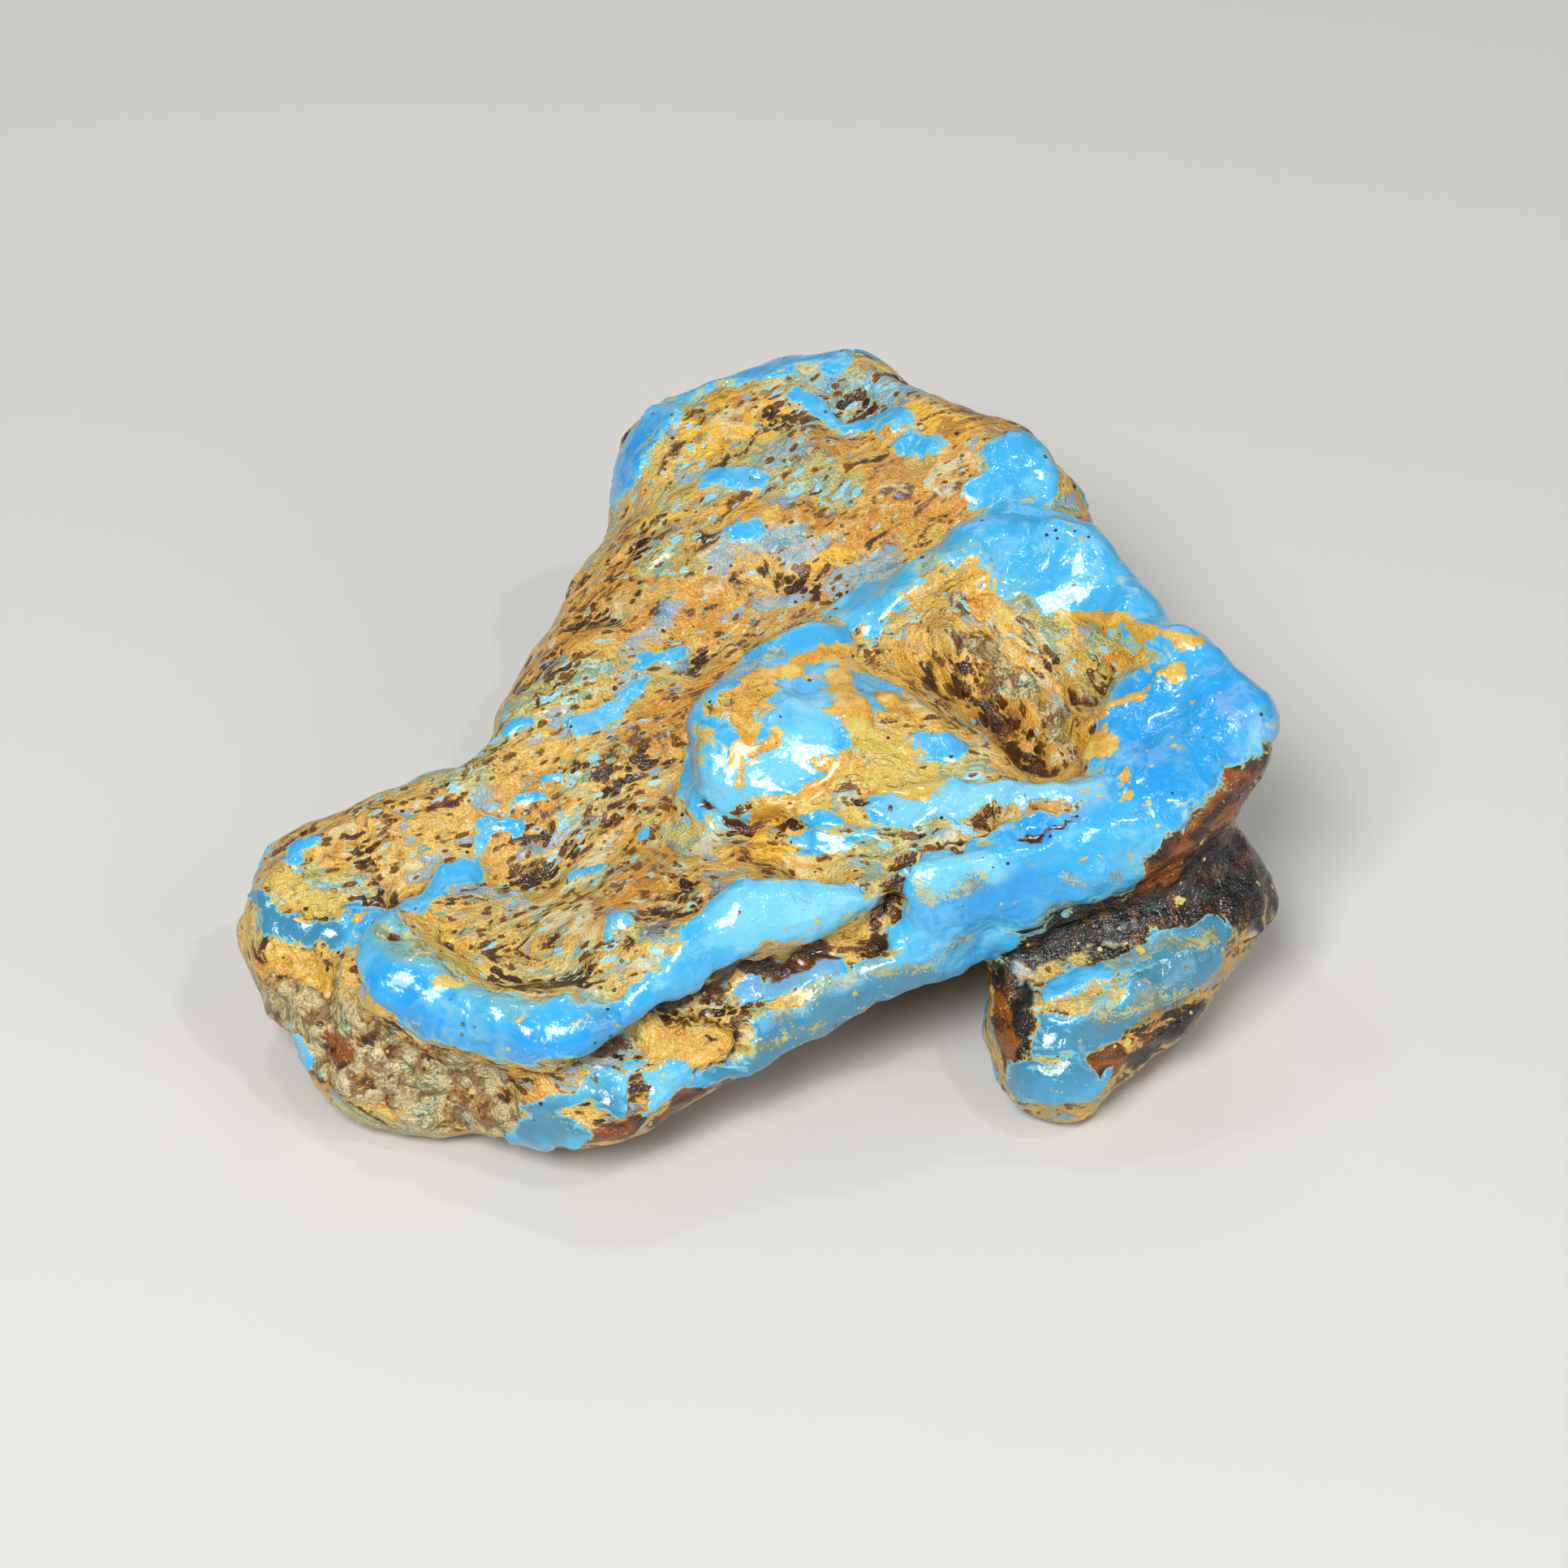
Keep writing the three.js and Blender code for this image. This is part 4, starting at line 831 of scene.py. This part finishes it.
def layer_fields(skin, normals):
    """How far inside each layer every point lies, above 0 where the layer shows, and the skin's own measures.

    On the described side a layer follows its strokes. Elsewhere it follows the stone's lumps: blue where they
    stand out, crust in the hollows, earthy matrix and brown resin below. The measures are how steep the skin
    is, and two places that patterns read: both hold the distance from the nearest grain line, one squeezed
    along the stone, one stretched across it, so that a pattern is drawn out along the fibres.
    """
    points = skin.points
    wander = [
        sum(weight * lumps(points, size, seed + axis) for weight, size, seed in WANDER)
        for axis in range(3)
    ]
    ragged = points + np.stack(wander, axis=1)
    fields = {name: inside(ragged, strokes) for name, strokes in STROKES.items()}
    nearest = np.min([distance_to(points, line) for line in GRAIN_LINES], axis=0)
    flow = nearest + 0.7 * lumps(points, 6, 3)
    along = points[:, :2] + 0.7 * points[:, 2:]  # so that it also changes down the steep sides
    stretched = np.column_stack([along / SQUEEZED, flow])
    drawn = np.column_stack([along, DRAWN_OUT * flow])

    bulge = ((points - skin.averaged(points, BROAD)) * normals).sum(axis=1)
    stands = np.clip(bulge / PROUD, -1.5, 1.5)
    under = ease(-0.2, -0.7, normals[:, 2])  # 1 where the skin faces down
    steep = 1 - ease(0.35, 0.75, np.abs(normals[:, 2]))  # 1 where it stands upright

    # 1 on the side that the strokes don't describe, 0 where they do.
    far = ease(0.9 * STROKED_REACH, 1.3 * STROKED_REACH, distance_to(points, STROKED_LINE))
    turned = ease(0.12, -0.2, normals @ np.array(SIGHT))
    hidden = turned * np.maximum(far, ease(-0.3, -0.7, normals[:, 2]))

    # Layers that follow the lumps on the hidden side.
    broad = 0.75 * lumps(points, 9, 11) + 0.4 * lumps(points, 4, 12)
    fields["blue"] = np.minimum(fields["blue"], -fields.pop("bare"))
    away = -0.1 + 0.35 * stands + broad - 0.35 * under
    fields["blue"] = np.maximum(fields["blue"], away * hidden - (1 - hidden))
    fields["blue"] += 0.2 * lumps(stretched, 1.7, 21)
    away = -0.45 + 0.5 * lumps(points, 5, 13) + 0.2 * lumps(points, 2, 14) - 0.25 * stands
    fields["gold"] = np.maximum(fields["gold"], away * hidden - 0.75 * (1 - hidden))
    away = -0.15 + 0.5 * broad + 0.25 * under
    fields["rock"] = np.maximum(fields["rock"], away * hidden * steep - (1 - hidden * steep))
    away = -0.25 + 0.7 * lumps(points, 6, 19) + 0.3 * under
    fields["ember"] = np.maximum(fields["ember"], away * hidden - (1 - hidden))

    # Layers that show in areas all over the stone. The brown resin's grow rarer to the back.
    away = -0.45 + 0.7 * lumps(stretched, 3, 15) - 0.2 * stands + 0.25 * under
    fields["dark"] = np.maximum(fields["dark"], away - 0.4 * ease(-6, 6, points[:, 1]))
    bloom = np.clip(fields["yellow"], 0, 1)
    for name, (fibrous, size, seed, weight, base, proud, sheer, low) in AREAS.items():
        away = base + weight * lumps(stretched if fibrous else points, size, seed)
        fields[name] = np.maximum(fields[name], away + proud * stands + sheer * steep + low * under)
    fields["veil"] -= bloom
    return fields, {"steep": steep, "stretched": stretched, "drawn": drawn}


def raise_relief(skin, relief):
    """Moves the skin along its outward directions by the layers' relief, all in mm.

    The blue layer swells over the crust and has soft lumps; the crust has low fibres; the steep sides have
    strata; the dark clefts sink. The relief fades out just above the floor, where the stone rests. It gives
    back the layers and the place that the finish's fibrous patterns read.
    """
    normals = skin.normals()
    fields, shape = layer_fields(skin, normals)
    points = skin.points
    stray = np.stack([lumps(points, 2.0, 71 + axis) for axis in range(3)], axis=1)
    bent = points + 0.5 * stray
    height = worked(bent, RAISED) - worked(bent, SUNK)
    blue = ease(-0.05, 0.3, fields["blue"])
    crust = 1 - blue
    wax = lumps(points, 3.0, 31) + 0.45 * lumps(points, 1.5, 32)
    height += relief["swell"] * blue + relief["wax_lump"] * wax * blue
    fibres = lumps(shape["stretched"], 0.95, 33) + 0.7 * lumps(points, 1.3, 34)
    height += relief["fibre"] * fibres * crust
    strata = lumps(shape["stretched"], 1.4, 35) * shape["steep"]
    height += relief["strata"] * strata * (0.4 + 0.6 * crust)
    sunk = ease(-0.5, 0.8, fields["cleft"]) + PIT_DEPTH * ease(-0.2, 0.6, fields["dark"])
    height -= relief["cleft"] * sunk
    height += GOLD_HEIGHT * ease(-0.1, 0.3, fields["gold"]) * blue
    rubble = 0.55 * lumps(points, 3.2, 36) + 0.35 * lumps(points, 1.4, 37)
    height += rubble * np.maximum(ease(-0.2, 0.3, fields["rock"]), 0.5 * ease(-0.2, 0.3, fields["soot_and_shade"]))
    height *= ease(0.0, FLOOR_FADE, points[:, 2])
    skin.points = points + normals * height[:, None]
    skin.points[:, 2] = np.maximum(skin.points[:, 2], 0)
    return fields, shape["drawn"]


# ---------------------------------------------------------------- the finish
def add(tree, kind, inputs=(), out=0, stops=(), **settings):
    """Adds a node, sets its settings, its colour stops and its inputs by number or name, links the inputs
    that are outputs of other nodes, and returns one of its outputs."""
    node = tree.nodes.new("ShaderNode" + kind)
    for name, value in settings.items():
        setattr(node, name, value)
    for number, (place, colour) in enumerate(stops):
        elements = node.color_ramp.elements
        element = elements[number] if number < 2 else elements.new(place)
        element.position, element.color = place, colour
    for where, value in dict(inputs).items():
        if isinstance(value, bpy.types.NodeSocket):
            tree.links.new(value, node.inputs[where])
        else:
            node.inputs[where].default_value = value
    return node.outputs[out] if node.outputs else None


def swayed(tree, base, *waves):
    """The base plus each wave's distance from its middle, 0.5, times its weight."""
    for wave, weight in waves:
        part = add(tree, "Math", {0: wave, 1: weight, 2: -weight / 2}, operation="MULTIPLY_ADD")
        base = add(tree, "Math", {0: part, 1: base}, operation="ADD")
    return base


def tinted(tree, colour, level, low, high, other, most=1.0):
    """A colour that turns to another, or most of the way to it, as the level goes from low to high."""
    share = add(tree, "MapRange", {0: level, 1: low, 2: high, 4: most}, interpolation_type="SMOOTHSTEP")
    return add(tree, "Mix", {0: share, 6: colour, 7: other}, 2, data_type="RGBA")


def laid(tree, below, level, low, high, colour, roughness, most=1.0):
    """One finish laid over another as the level goes from low to high: its colour and its roughness are
    mixed in."""
    share = add(tree, "MapRange", {0: level, 1: low, 2: high, 4: most}, interpolation_type="SMOOTHSTEP")
    mixed = add(tree, "Mix", {0: share, 6: below[0], 7: colour}, 2, data_type="RGBA")
    return mixed, add(tree, "Mix", {0: share, 2: below[1], 3: roughness})


def amber_finish(tints):
    """Opaque blue amber in its weathered crust.

    The resin is waxy and wet-looking: a clear gloss over cloudy blue that goes azure where it is thick and
    teal, then cream, where it thins out. The crust is satin ochre and brown fibres that run round the lumps.
    """
    material = bpy.data.materials.new("waxy_blue_amber_with_ochre_crust")
    material.use_nodes = True
    tree = material.node_tree
    tree.nodes.clear()
    c = {name: tuple(getattr(tints, name)) for name in COLOURS}
    ramps = {name: [(tone, c[shade]) for tone, shade in stops] for name, stops in RAMPS.items()}

    layers = [name for name in STROKES if name != "bare"]
    field = {name: add(tree, "Attribute", out=2, attribute_name=name) for name in layers}
    place = add(tree, "Mapping", {0: add(tree, "TexCoord", out=3), 3: (1 / MM,) * 3})  # Object, in mm
    drawn = add(tree, "Attribute", out=1, attribute_name="drawn")

    # The patterns: what each runs in, its features' size in mm, then its detail, roughness and distortion.
    # The grains, 0.16 mm across, are the finest that still show.
    fibres, edge, blotch, film, cloud, grains, lobes = (
        add(tree, "TexNoise", {
            "Vector": vector, "Scale": 1 / size, "Detail": detail, "Roughness": rough, "Distortion": bend,
        })
        for vector, size, detail, rough, bend in [
            (drawn, 2.9, 3, 0.5, 0.7),
            (drawn, 2.0, 4, 0.6, 0.8),
            (place, 1.7, 3, 0.6, 0.8),
            (place, 1.1, 2, 0.6, 0.7),
            (place, 2.6, 2, 0.6, 0.0),
            (place, 0.16, 1, 0.5, 0.0),
            (place, 1.1, 3, 0.6, 0.4),
        ]
    )  # fmt: skip
    # Cells with curved outlines, in places shifted by up to 1.3 mm.
    shift = add(tree, "TexNoise", {"Vector": place, "Scale": 1 / 0.9, "Detail": 2}, 1)
    bent, curled = (
        add(tree, "VectorMath", {0: shift, 1: (1.3,) * 3, 2: vector}, operation="MULTIPLY_ADD")
        for vector in (place, drawn)
    )
    lens = add(tree, "TexVoronoi", {"Vector": curled, "Scale": 1 / 0.95})
    crumb = add(tree, "TexVoronoi", {"Vector": bent, "Scale": 1 / 1.0})
    # Three random numbers for each lens and each crumb.
    pick, kind = (
        add(tree, "SeparateColor", {0: cells.node.outputs["Color"]}).node.outputs for cells in (lens, crumb)
    )

    # Crust: a gold matrix of drawn-out fibres, with orange, yellow, green and cream areas.
    tone = swayed(tree, 0.5, (fibres, 2.8), (blotch, 1.1), (grains, 0.4))
    earthy, glowing, sunny, mossy = (
        add(tree, "ValToRGB", {0: tone}, stops=ramps[name])
        for name in ("earthy", "glowing", "sunny", "mossy")
    )
    creamy = tinted(tree, c["chalk"], tone, 0.5, 0.8, c["matrix"])
    crust = earthy
    for name, weight, low, high, colour, most in [
        ("warm", 3.0, -0.2, 0.3, glowing, 0.95),
        ("yellow", 2.6, -0.2, 0.3, sunny, 1.0),
        ("green", 3.0, -0.2, 0.4, mossy, 0.8),
        ("pale", 2.6, 0.25, 0.6, creamy, 0.85),
    ]:
        crust = tinted(tree, crust, swayed(tree, field[name], (blotch, weight)), low, high, colour, most)
    surface = crust, 0.42

    # Thin veils of clouded blue drawn along the fibres.
    level = swayed(tree, field["veil"], (edge, 3.6), (grains, 0.8))
    veil = tinted(tree, c["haze"], level, 0.3, 1.1, c["cloud"])
    surface = laid(tree, surface, level, 0.0, 0.7, veil, 0.22, 0.65)

    # Lens-shaped cells in the matrix, 0.5 mm wide: some of teal or blue, more of brown resin, in pale rims.
    level = add(tree, "Math", {0: pick[1], 1: lens}, operation="SUBTRACT")
    level = add(tree, "Math", {0: field["green"], 1: 0.35, 2: level}, operation="MULTIPLY_ADD")
    level = swayed(tree, level, (film, 0.4), (grains, 0.15))
    pool = tinted(tree, c["moss"], pick[2], 0.35, 0.6, c["cyan"])
    surface = laid(tree, surface, level, 0.36, 0.40, c["pale"], 0.36, 0.7)
    surface = laid(tree, surface, level, 0.42, 0.48, pool, 0.22, 0.9)
    level = add(tree, "Math", {0: pick[0], 1: lens}, operation="SUBTRACT")
    level = add(tree, "Math", {0: field["dark"], 1: 0.45, 2: level}, operation="MULTIPLY_ADD")
    pit = swayed(tree, level, (edge, 1.1), (film, 0.4), (grains, 0.2))
    brown = tinted(tree, c["umber"], swayed(tree, field["dark"], (pick[2], 0.8)), -0.1, 0.8, c["bark"])
    brown = tinted(tree, c["ochre"], pit, 0.25, 0.43, brown)
    surface = laid(tree, surface, pit, 0.15, 0.20, c["pale"], 0.36, 0.5)
    surface = laid(tree, surface, pit, 0.21, 0.29, brown, 0.2)

    # Earthy matrix on broken sides: crumbs 1 mm across, brown between them, with caramel stains.
    tone = swayed(tree, 0.5, (kind[0], 0.5), (blotch, 1.5), (grains, 0.35))
    earth = add(tree, "ValToRGB", {0: tone}, stops=ramps["earth"])
    earth = tinted(tree, earth, swayed(tree, crumb, (grains, 0.3)), 0.54, 0.76, c["umber"], 0.75)
    level = swayed(tree, field["rock"], (blotch, 2.0))
    surface = laid(tree, surface, level, -0.05, 0.15, earth, 0.42)

    # Black grains with grey-green weathering, brown and gold specks on the knob's top, made darker in part as
    # painted shade under the overhang.
    tone = swayed(tree, 0.5, (kind[0], 0.4), (blotch, 1.3), (grains, 0.5))
    soot_and_shade_tones = add(tree, "ValToRGB", {0: tone}, stops=ramps["soot_and_shade_tones"])
    level = swayed(tree, field["soot_and_shade"], (blotch, 2.0))
    surface = laid(tree, surface, level, -0.1, 0.35, soot_and_shade_tones, 0.24)

    # Clear brown resin that glows orange at its edges.
    level = swayed(tree, field["ember"], (blotch, 2.0))
    amber = tinted(tree, c["bark"], fibres, 0.4, 0.6, c["ember"])
    surface = laid(tree, surface, level, -0.1, 0.2, amber, 0.16)

    # The blue layer, from its pale edge through teal and cyan to sky, clouded softly within.
    level = swayed(tree, field["blue"], (edge, 2.4), (grains, 0.3))
    wax = add(tree, "ValToRGB", {0: level}, stops=ramps["wax"])
    deep = tinted(tree, c["sky"], cloud, 0.52, 0.66, c["cyan"], 0.5)
    for name, wave, low, high, colour, most in [
        ("azure", cloud, -0.3, 0.7, "azure", 0.9),
        ("lavender", film, -0.1, 0.8, "lavender", 0.5),
        ("thin", film, -0.3, 0.7, "cyan", 0.7),
        ("teal", film, -0.3, 0.5, "teal", 0.75),
        # painted shade: the blue darkened to petrol where it lies in shade
        ("painted_shade", cloud, -0.3, 0.6, "petrol_shade", 0.85),
    ]:
        deep = tinted(tree, deep, swayed(tree, field[name], (wave, 1.6)), low, high, c[colour], most)
    wax = tinted(tree, wax, level, 0.1, 0.4, deep)
    surface = laid(tree, surface, level, 0.0, 0.09, wax, 0.22)

    # Gold dust, sprinkled over the blue.
    level = swayed(tree, field["dust"], (blotch, 2.0), (grains, 3.4))
    dust = tinted(tree, c["lime"], film, 0.4, 0.6, c["olive"])
    surface = laid(tree, surface, level, 0.4, 0.9, dust, 0.34, 0.75)

    # The gold crust on top: lobed patches with a thin brown rim.
    level = swayed(tree, field["gold"], (lobes, 4.2))
    tone = swayed(tree, 0.5, (grains, 0.5), (film, 0.9), (blotch, 0.7))
    crustlet = add(tree, "ValToRGB", {0: tone}, stops=ramps["crustlet"])
    green = swayed(tree, field["green"], (blotch, 2.0))
    crustlet = tinted(tree, crustlet, green, -0.2, 0.5, c["lime"], 0.55)
    crustlet = tinted(tree, c["tan"], level, 0.03, 0.09, crustlet)
    surface = laid(tree, surface, level, -0.02, 0.02, crustlet, 0.34)

    # The clefts: thin dark lines, brown at their edges.
    level = swayed(tree, field["cleft"], (edge, 2.4))
    gap = tinted(tree, c["umber"], level, 0.5, 0.9, c["bark"])
    surface = laid(tree, surface, level, 0.35, 0.6, gap, 0.2)

    # Pinholes and gold specks 0.2 mm across, scattered over everything.
    pins = add(tree, "TexVoronoi", {"Vector": place, "Scale": 0.95, "Randomness": 1.0})
    for weight, colour in ((-0.4, "bark"), (0.4, "lime")):
        level = swayed(tree, pins, (cloud, weight))
        surface = laid(tree, surface, level, 0.10, 0.06, c[colour], 0.3)

    # The fine relief, as a height in mm: pits and fibres in the crust, crumbs on the broken sides, soft lumps
    # on the wax.
    walls = {0: pit, 1: 0.17, 2: 0.42, 3: 0.12, 4: 0.0}  # 0.12 mm deep
    pitted = add(tree, "MapRange", walls, interpolation_type="SMOOTHSTEP")
    coarse = swayed(tree, pitted, (fibres, 0.45), (blotch, 0.35), (grains, 0.12))
    broken = swayed(tree, 0.0, (crumb, -0.4), (blotch, 0.5), (grains, 0.12))
    earthen = add(tree, "MapRange", {0: field["rock"], 1: -0.1, 2: 0.2}, interpolation_type="SMOOTHSTEP")
    coarse = add(tree, "Mix", {0: earthen, 2: coarse, 3: broken})
    soft = swayed(tree, 0.1, (cloud, 0.3), (film, 0.14), (crumb, -0.05), (grains, 0.02))
    waxen = add(tree, "MapRange", {0: field["blue"], 1: -0.1, 2: 0.15}, interpolation_type="SMOOTHSTEP")
    height = add(tree, "Mix", {0: waxen, 2: coarse, 3: soft})
    bump = add(tree, "Bump", {"Height": height, "Distance": 1 * MM, "Strength": 1.0})

    # The wax is wetter than the crust: its clear gloss is stronger.
    gloss = add(tree, "MapRange", {0: waxen, 3: 0.12, 4: 0.42})
    shader = add(tree, "BsdfPrincipled", {
        "Base Color": surface[0], "Roughness": surface[1], "Normal": bump, "IOR": 1.54,
        "Coat Weight": gloss, "Coat Roughness": 0.08, "Coat IOR": 1.5,
    })  # fmt: skip
    add(tree, "OutputMaterial", {0: shader})
    return material


# ---------------------------------------------------------------- operators
LOOKED_AT = Vector((1.473, -3.108, 10.0)) * MM  # the place that the camera and the lamps face
FLOOR_SHADE = 0.97  # the darkest tone of the floor, as a share of its colour
SENSOR = 36  # the camera's sensor width, in mm
LAMPS = [  # name, where in metres, side in metres, power in watts
    ("key box", (-0.11, -0.29, 0.37), 0.18, 2.3),
    ("fill box", (0.34, -0.26, 0.24), 0.30, 0.6),
    ("back box", (0.05, 0.40, 0.30), 0.25, 0.24),
    ("left lamp", (-0.10, 0.12, 0.34), 0.02, 0.12),
    ("right lamp", (0.16, -0.10, 0.36), 0.02, 0.16),
]


class AMBER_OT_nugget(bpy.types.Operator):
    """Makes the stone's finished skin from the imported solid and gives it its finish."""

    bl_idname = "amber.nugget"
    bl_label = "Amber nugget"

    def execute(self, context):
        settings = context.scene.amber_relief
        heights = ("wax_lump", "swell", "fibre", "strata", "cleft")
        relief = {key: getattr(settings, key) / MM for key in heights}
        skin = packed_skin(settings.facet_cuts)
        skin.points = skin.averaged(skin.points, ROUNDING)
        fields, drawn = raise_relief(skin, relief)
        mesh = bpy.data.meshes.new("amber_nugget_skin")
        mesh.vertices.add(len(skin.points))
        mesh.vertices.foreach_set("co", (skin.points * MM).ravel())
        mesh.loops.add(skin.faces.size)
        mesh.loops.foreach_set("vertex_index", skin.faces.ravel().astype(np.int32))
        mesh.polygons.add(len(skin.faces))
        mesh.polygons.foreach_set("loop_start", np.arange(0, skin.faces.size, 3, dtype=np.int32))
        mesh.polygons.foreach_set("use_smooth", np.ones(len(skin.faces), bool))
        for name, values in fields.items():
            layer = mesh.attributes.new(name, "FLOAT", "POINT")
            layer.data.foreach_set("value", values.astype(np.float32))
        place = mesh.attributes.new("drawn", "FLOAT_VECTOR", "POINT")
        place.data.foreach_set("vector", drawn.astype(np.float32).ravel())
        mesh.update(calc_edges=True)
        if mesh.validate():
            raise RuntimeError("the skin has faces that Blender had to mend")
        mesh.materials.append(amber_finish(context.scene.amber_colours))
        stone = bpy.data.objects.new("amber_nugget_skin", mesh)
        context.scene.collection.objects.link(stone)
        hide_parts(STONE)
        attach(stone, "root")
        return {"FINISHED"}


def matt_board(colour):
    """Matt painted board, with a faint unevenness of its tone."""
    paint = bpy.data.materials.new("matt_pale_board")
    paint.use_nodes = True
    tree = paint.node_tree
    tree.nodes.clear()
    tone = add(tree, "TexNoise", {"Vector": add(tree, "TexCoord", out=3), "Scale": 3.0, "Detail": 2.0})
    shade = tuple(FLOOR_SHADE * part for part in colour)
    colour = add(tree, "Mix", {0: tone, 6: tuple(colour), 7: shade}, 2, data_type="RGBA")
    add(tree, "OutputMaterial", {0: add(tree, "BsdfPrincipled", {"Base Color": colour, "Roughness": 0.85})})
    return paint


class AMBER_OT_stage(bpy.types.Operator):
    """Makes the pale floor, the soft lamps and the camera."""

    bl_idname = "amber.stage"
    bl_label = "Stage"

    def execute(self, context):
        scene, settings = context.scene, context.scene.amber_stage
        half = settings.floor_size / 2
        corners = [(-half, -half, 0), (half, -half, 0), (half, half, 0), (-half, half, 0)]
        mesh = bpy.data.meshes.new("floor")
        mesh.from_pydata(corners, [], [(0, 1, 2, 3)])
        mesh.materials.append(matt_board(settings.floor_colour))
        floor = bpy.data.objects.new("floor", mesh)
        scene.collection.objects.link(floor)

        world = bpy.data.worlds.new("soft daylight tent")
        world.use_nodes = True
        sky = world.node_tree.nodes["Background"].inputs
        sky["Color"].default_value = linear("#E6E7E8")
        sky["Strength"].default_value = 0.2
        scene.world = world
        scene.view_settings.view_transform = "Standard"

        for name, where, side, power in LAMPS:
            lamp = bpy.data.lights.new(name, "AREA")
            lamp.shape, lamp.size, lamp.energy = "SQUARE", side, power
            holder = bpy.data.objects.new(name, lamp)
            holder.location = where
            holder.rotation_euler = (Vector(where) - LOOKED_AT).to_track_quat("Z", "Y").to_euler()
            scene.collection.objects.link(holder)

        camera = bpy.data.cameras.new("camera")
        camera.lens, camera.sensor_width, camera.clip_start = settings.lens, SENSOR, 0.01
        holder = bpy.data.objects.new("camera", camera)
        back = Vector((0, -math.cos(settings.elevation), math.sin(settings.elevation)))
        holder.location = LOOKED_AT + settings.distance * back
        holder.rotation_euler = back.to_track_quat("Z", "Y").to_euler()
        scene.collection.objects.link(holder)
        scene.camera = holder
        return {"FINISHED"}


class AMBER_PT_sidebar(bpy.types.Panel):
    """The nugget's and the stage's settings."""

    bl_label = "Blue amber nugget"
    bl_space_type = "VIEW_3D"
    bl_region_type = "UI"
    bl_category = "Amber"

    def draw(self, context):
        for group in (context.scene.amber_relief, context.scene.amber_colours, context.scene.amber_stage):
            column = self.layout.column(align=True)
            for key in group.__annotations__:
                column.prop(group, key)
        self.layout.operator("amber.nugget")
        self.layout.operator("amber.stage")


CLASSES = (NuggetRelief, NuggetColours, StageSettings, AMBER_OT_nugget, AMBER_OT_stage, AMBER_PT_sidebar)


def register():
    for kind in CLASSES:
        bpy.utils.register_class(kind)
    bpy.types.Scene.amber_relief = PointerProperty(type=NuggetRelief)
    bpy.types.Scene.amber_colours = PointerProperty(type=NuggetColours)
    bpy.types.Scene.amber_stage = PointerProperty(type=StageSettings)


def unregister():
    del bpy.types.Scene.amber_stage, bpy.types.Scene.amber_colours, bpy.types.Scene.amber_relief
    for kind in reversed(CLASSES):
        bpy.utils.unregister_class(kind)


def main():
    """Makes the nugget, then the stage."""
    register()
    bpy.ops.amber.nugget()
    bpy.ops.amber.stage()


if __name__ == "__main__":
    main()
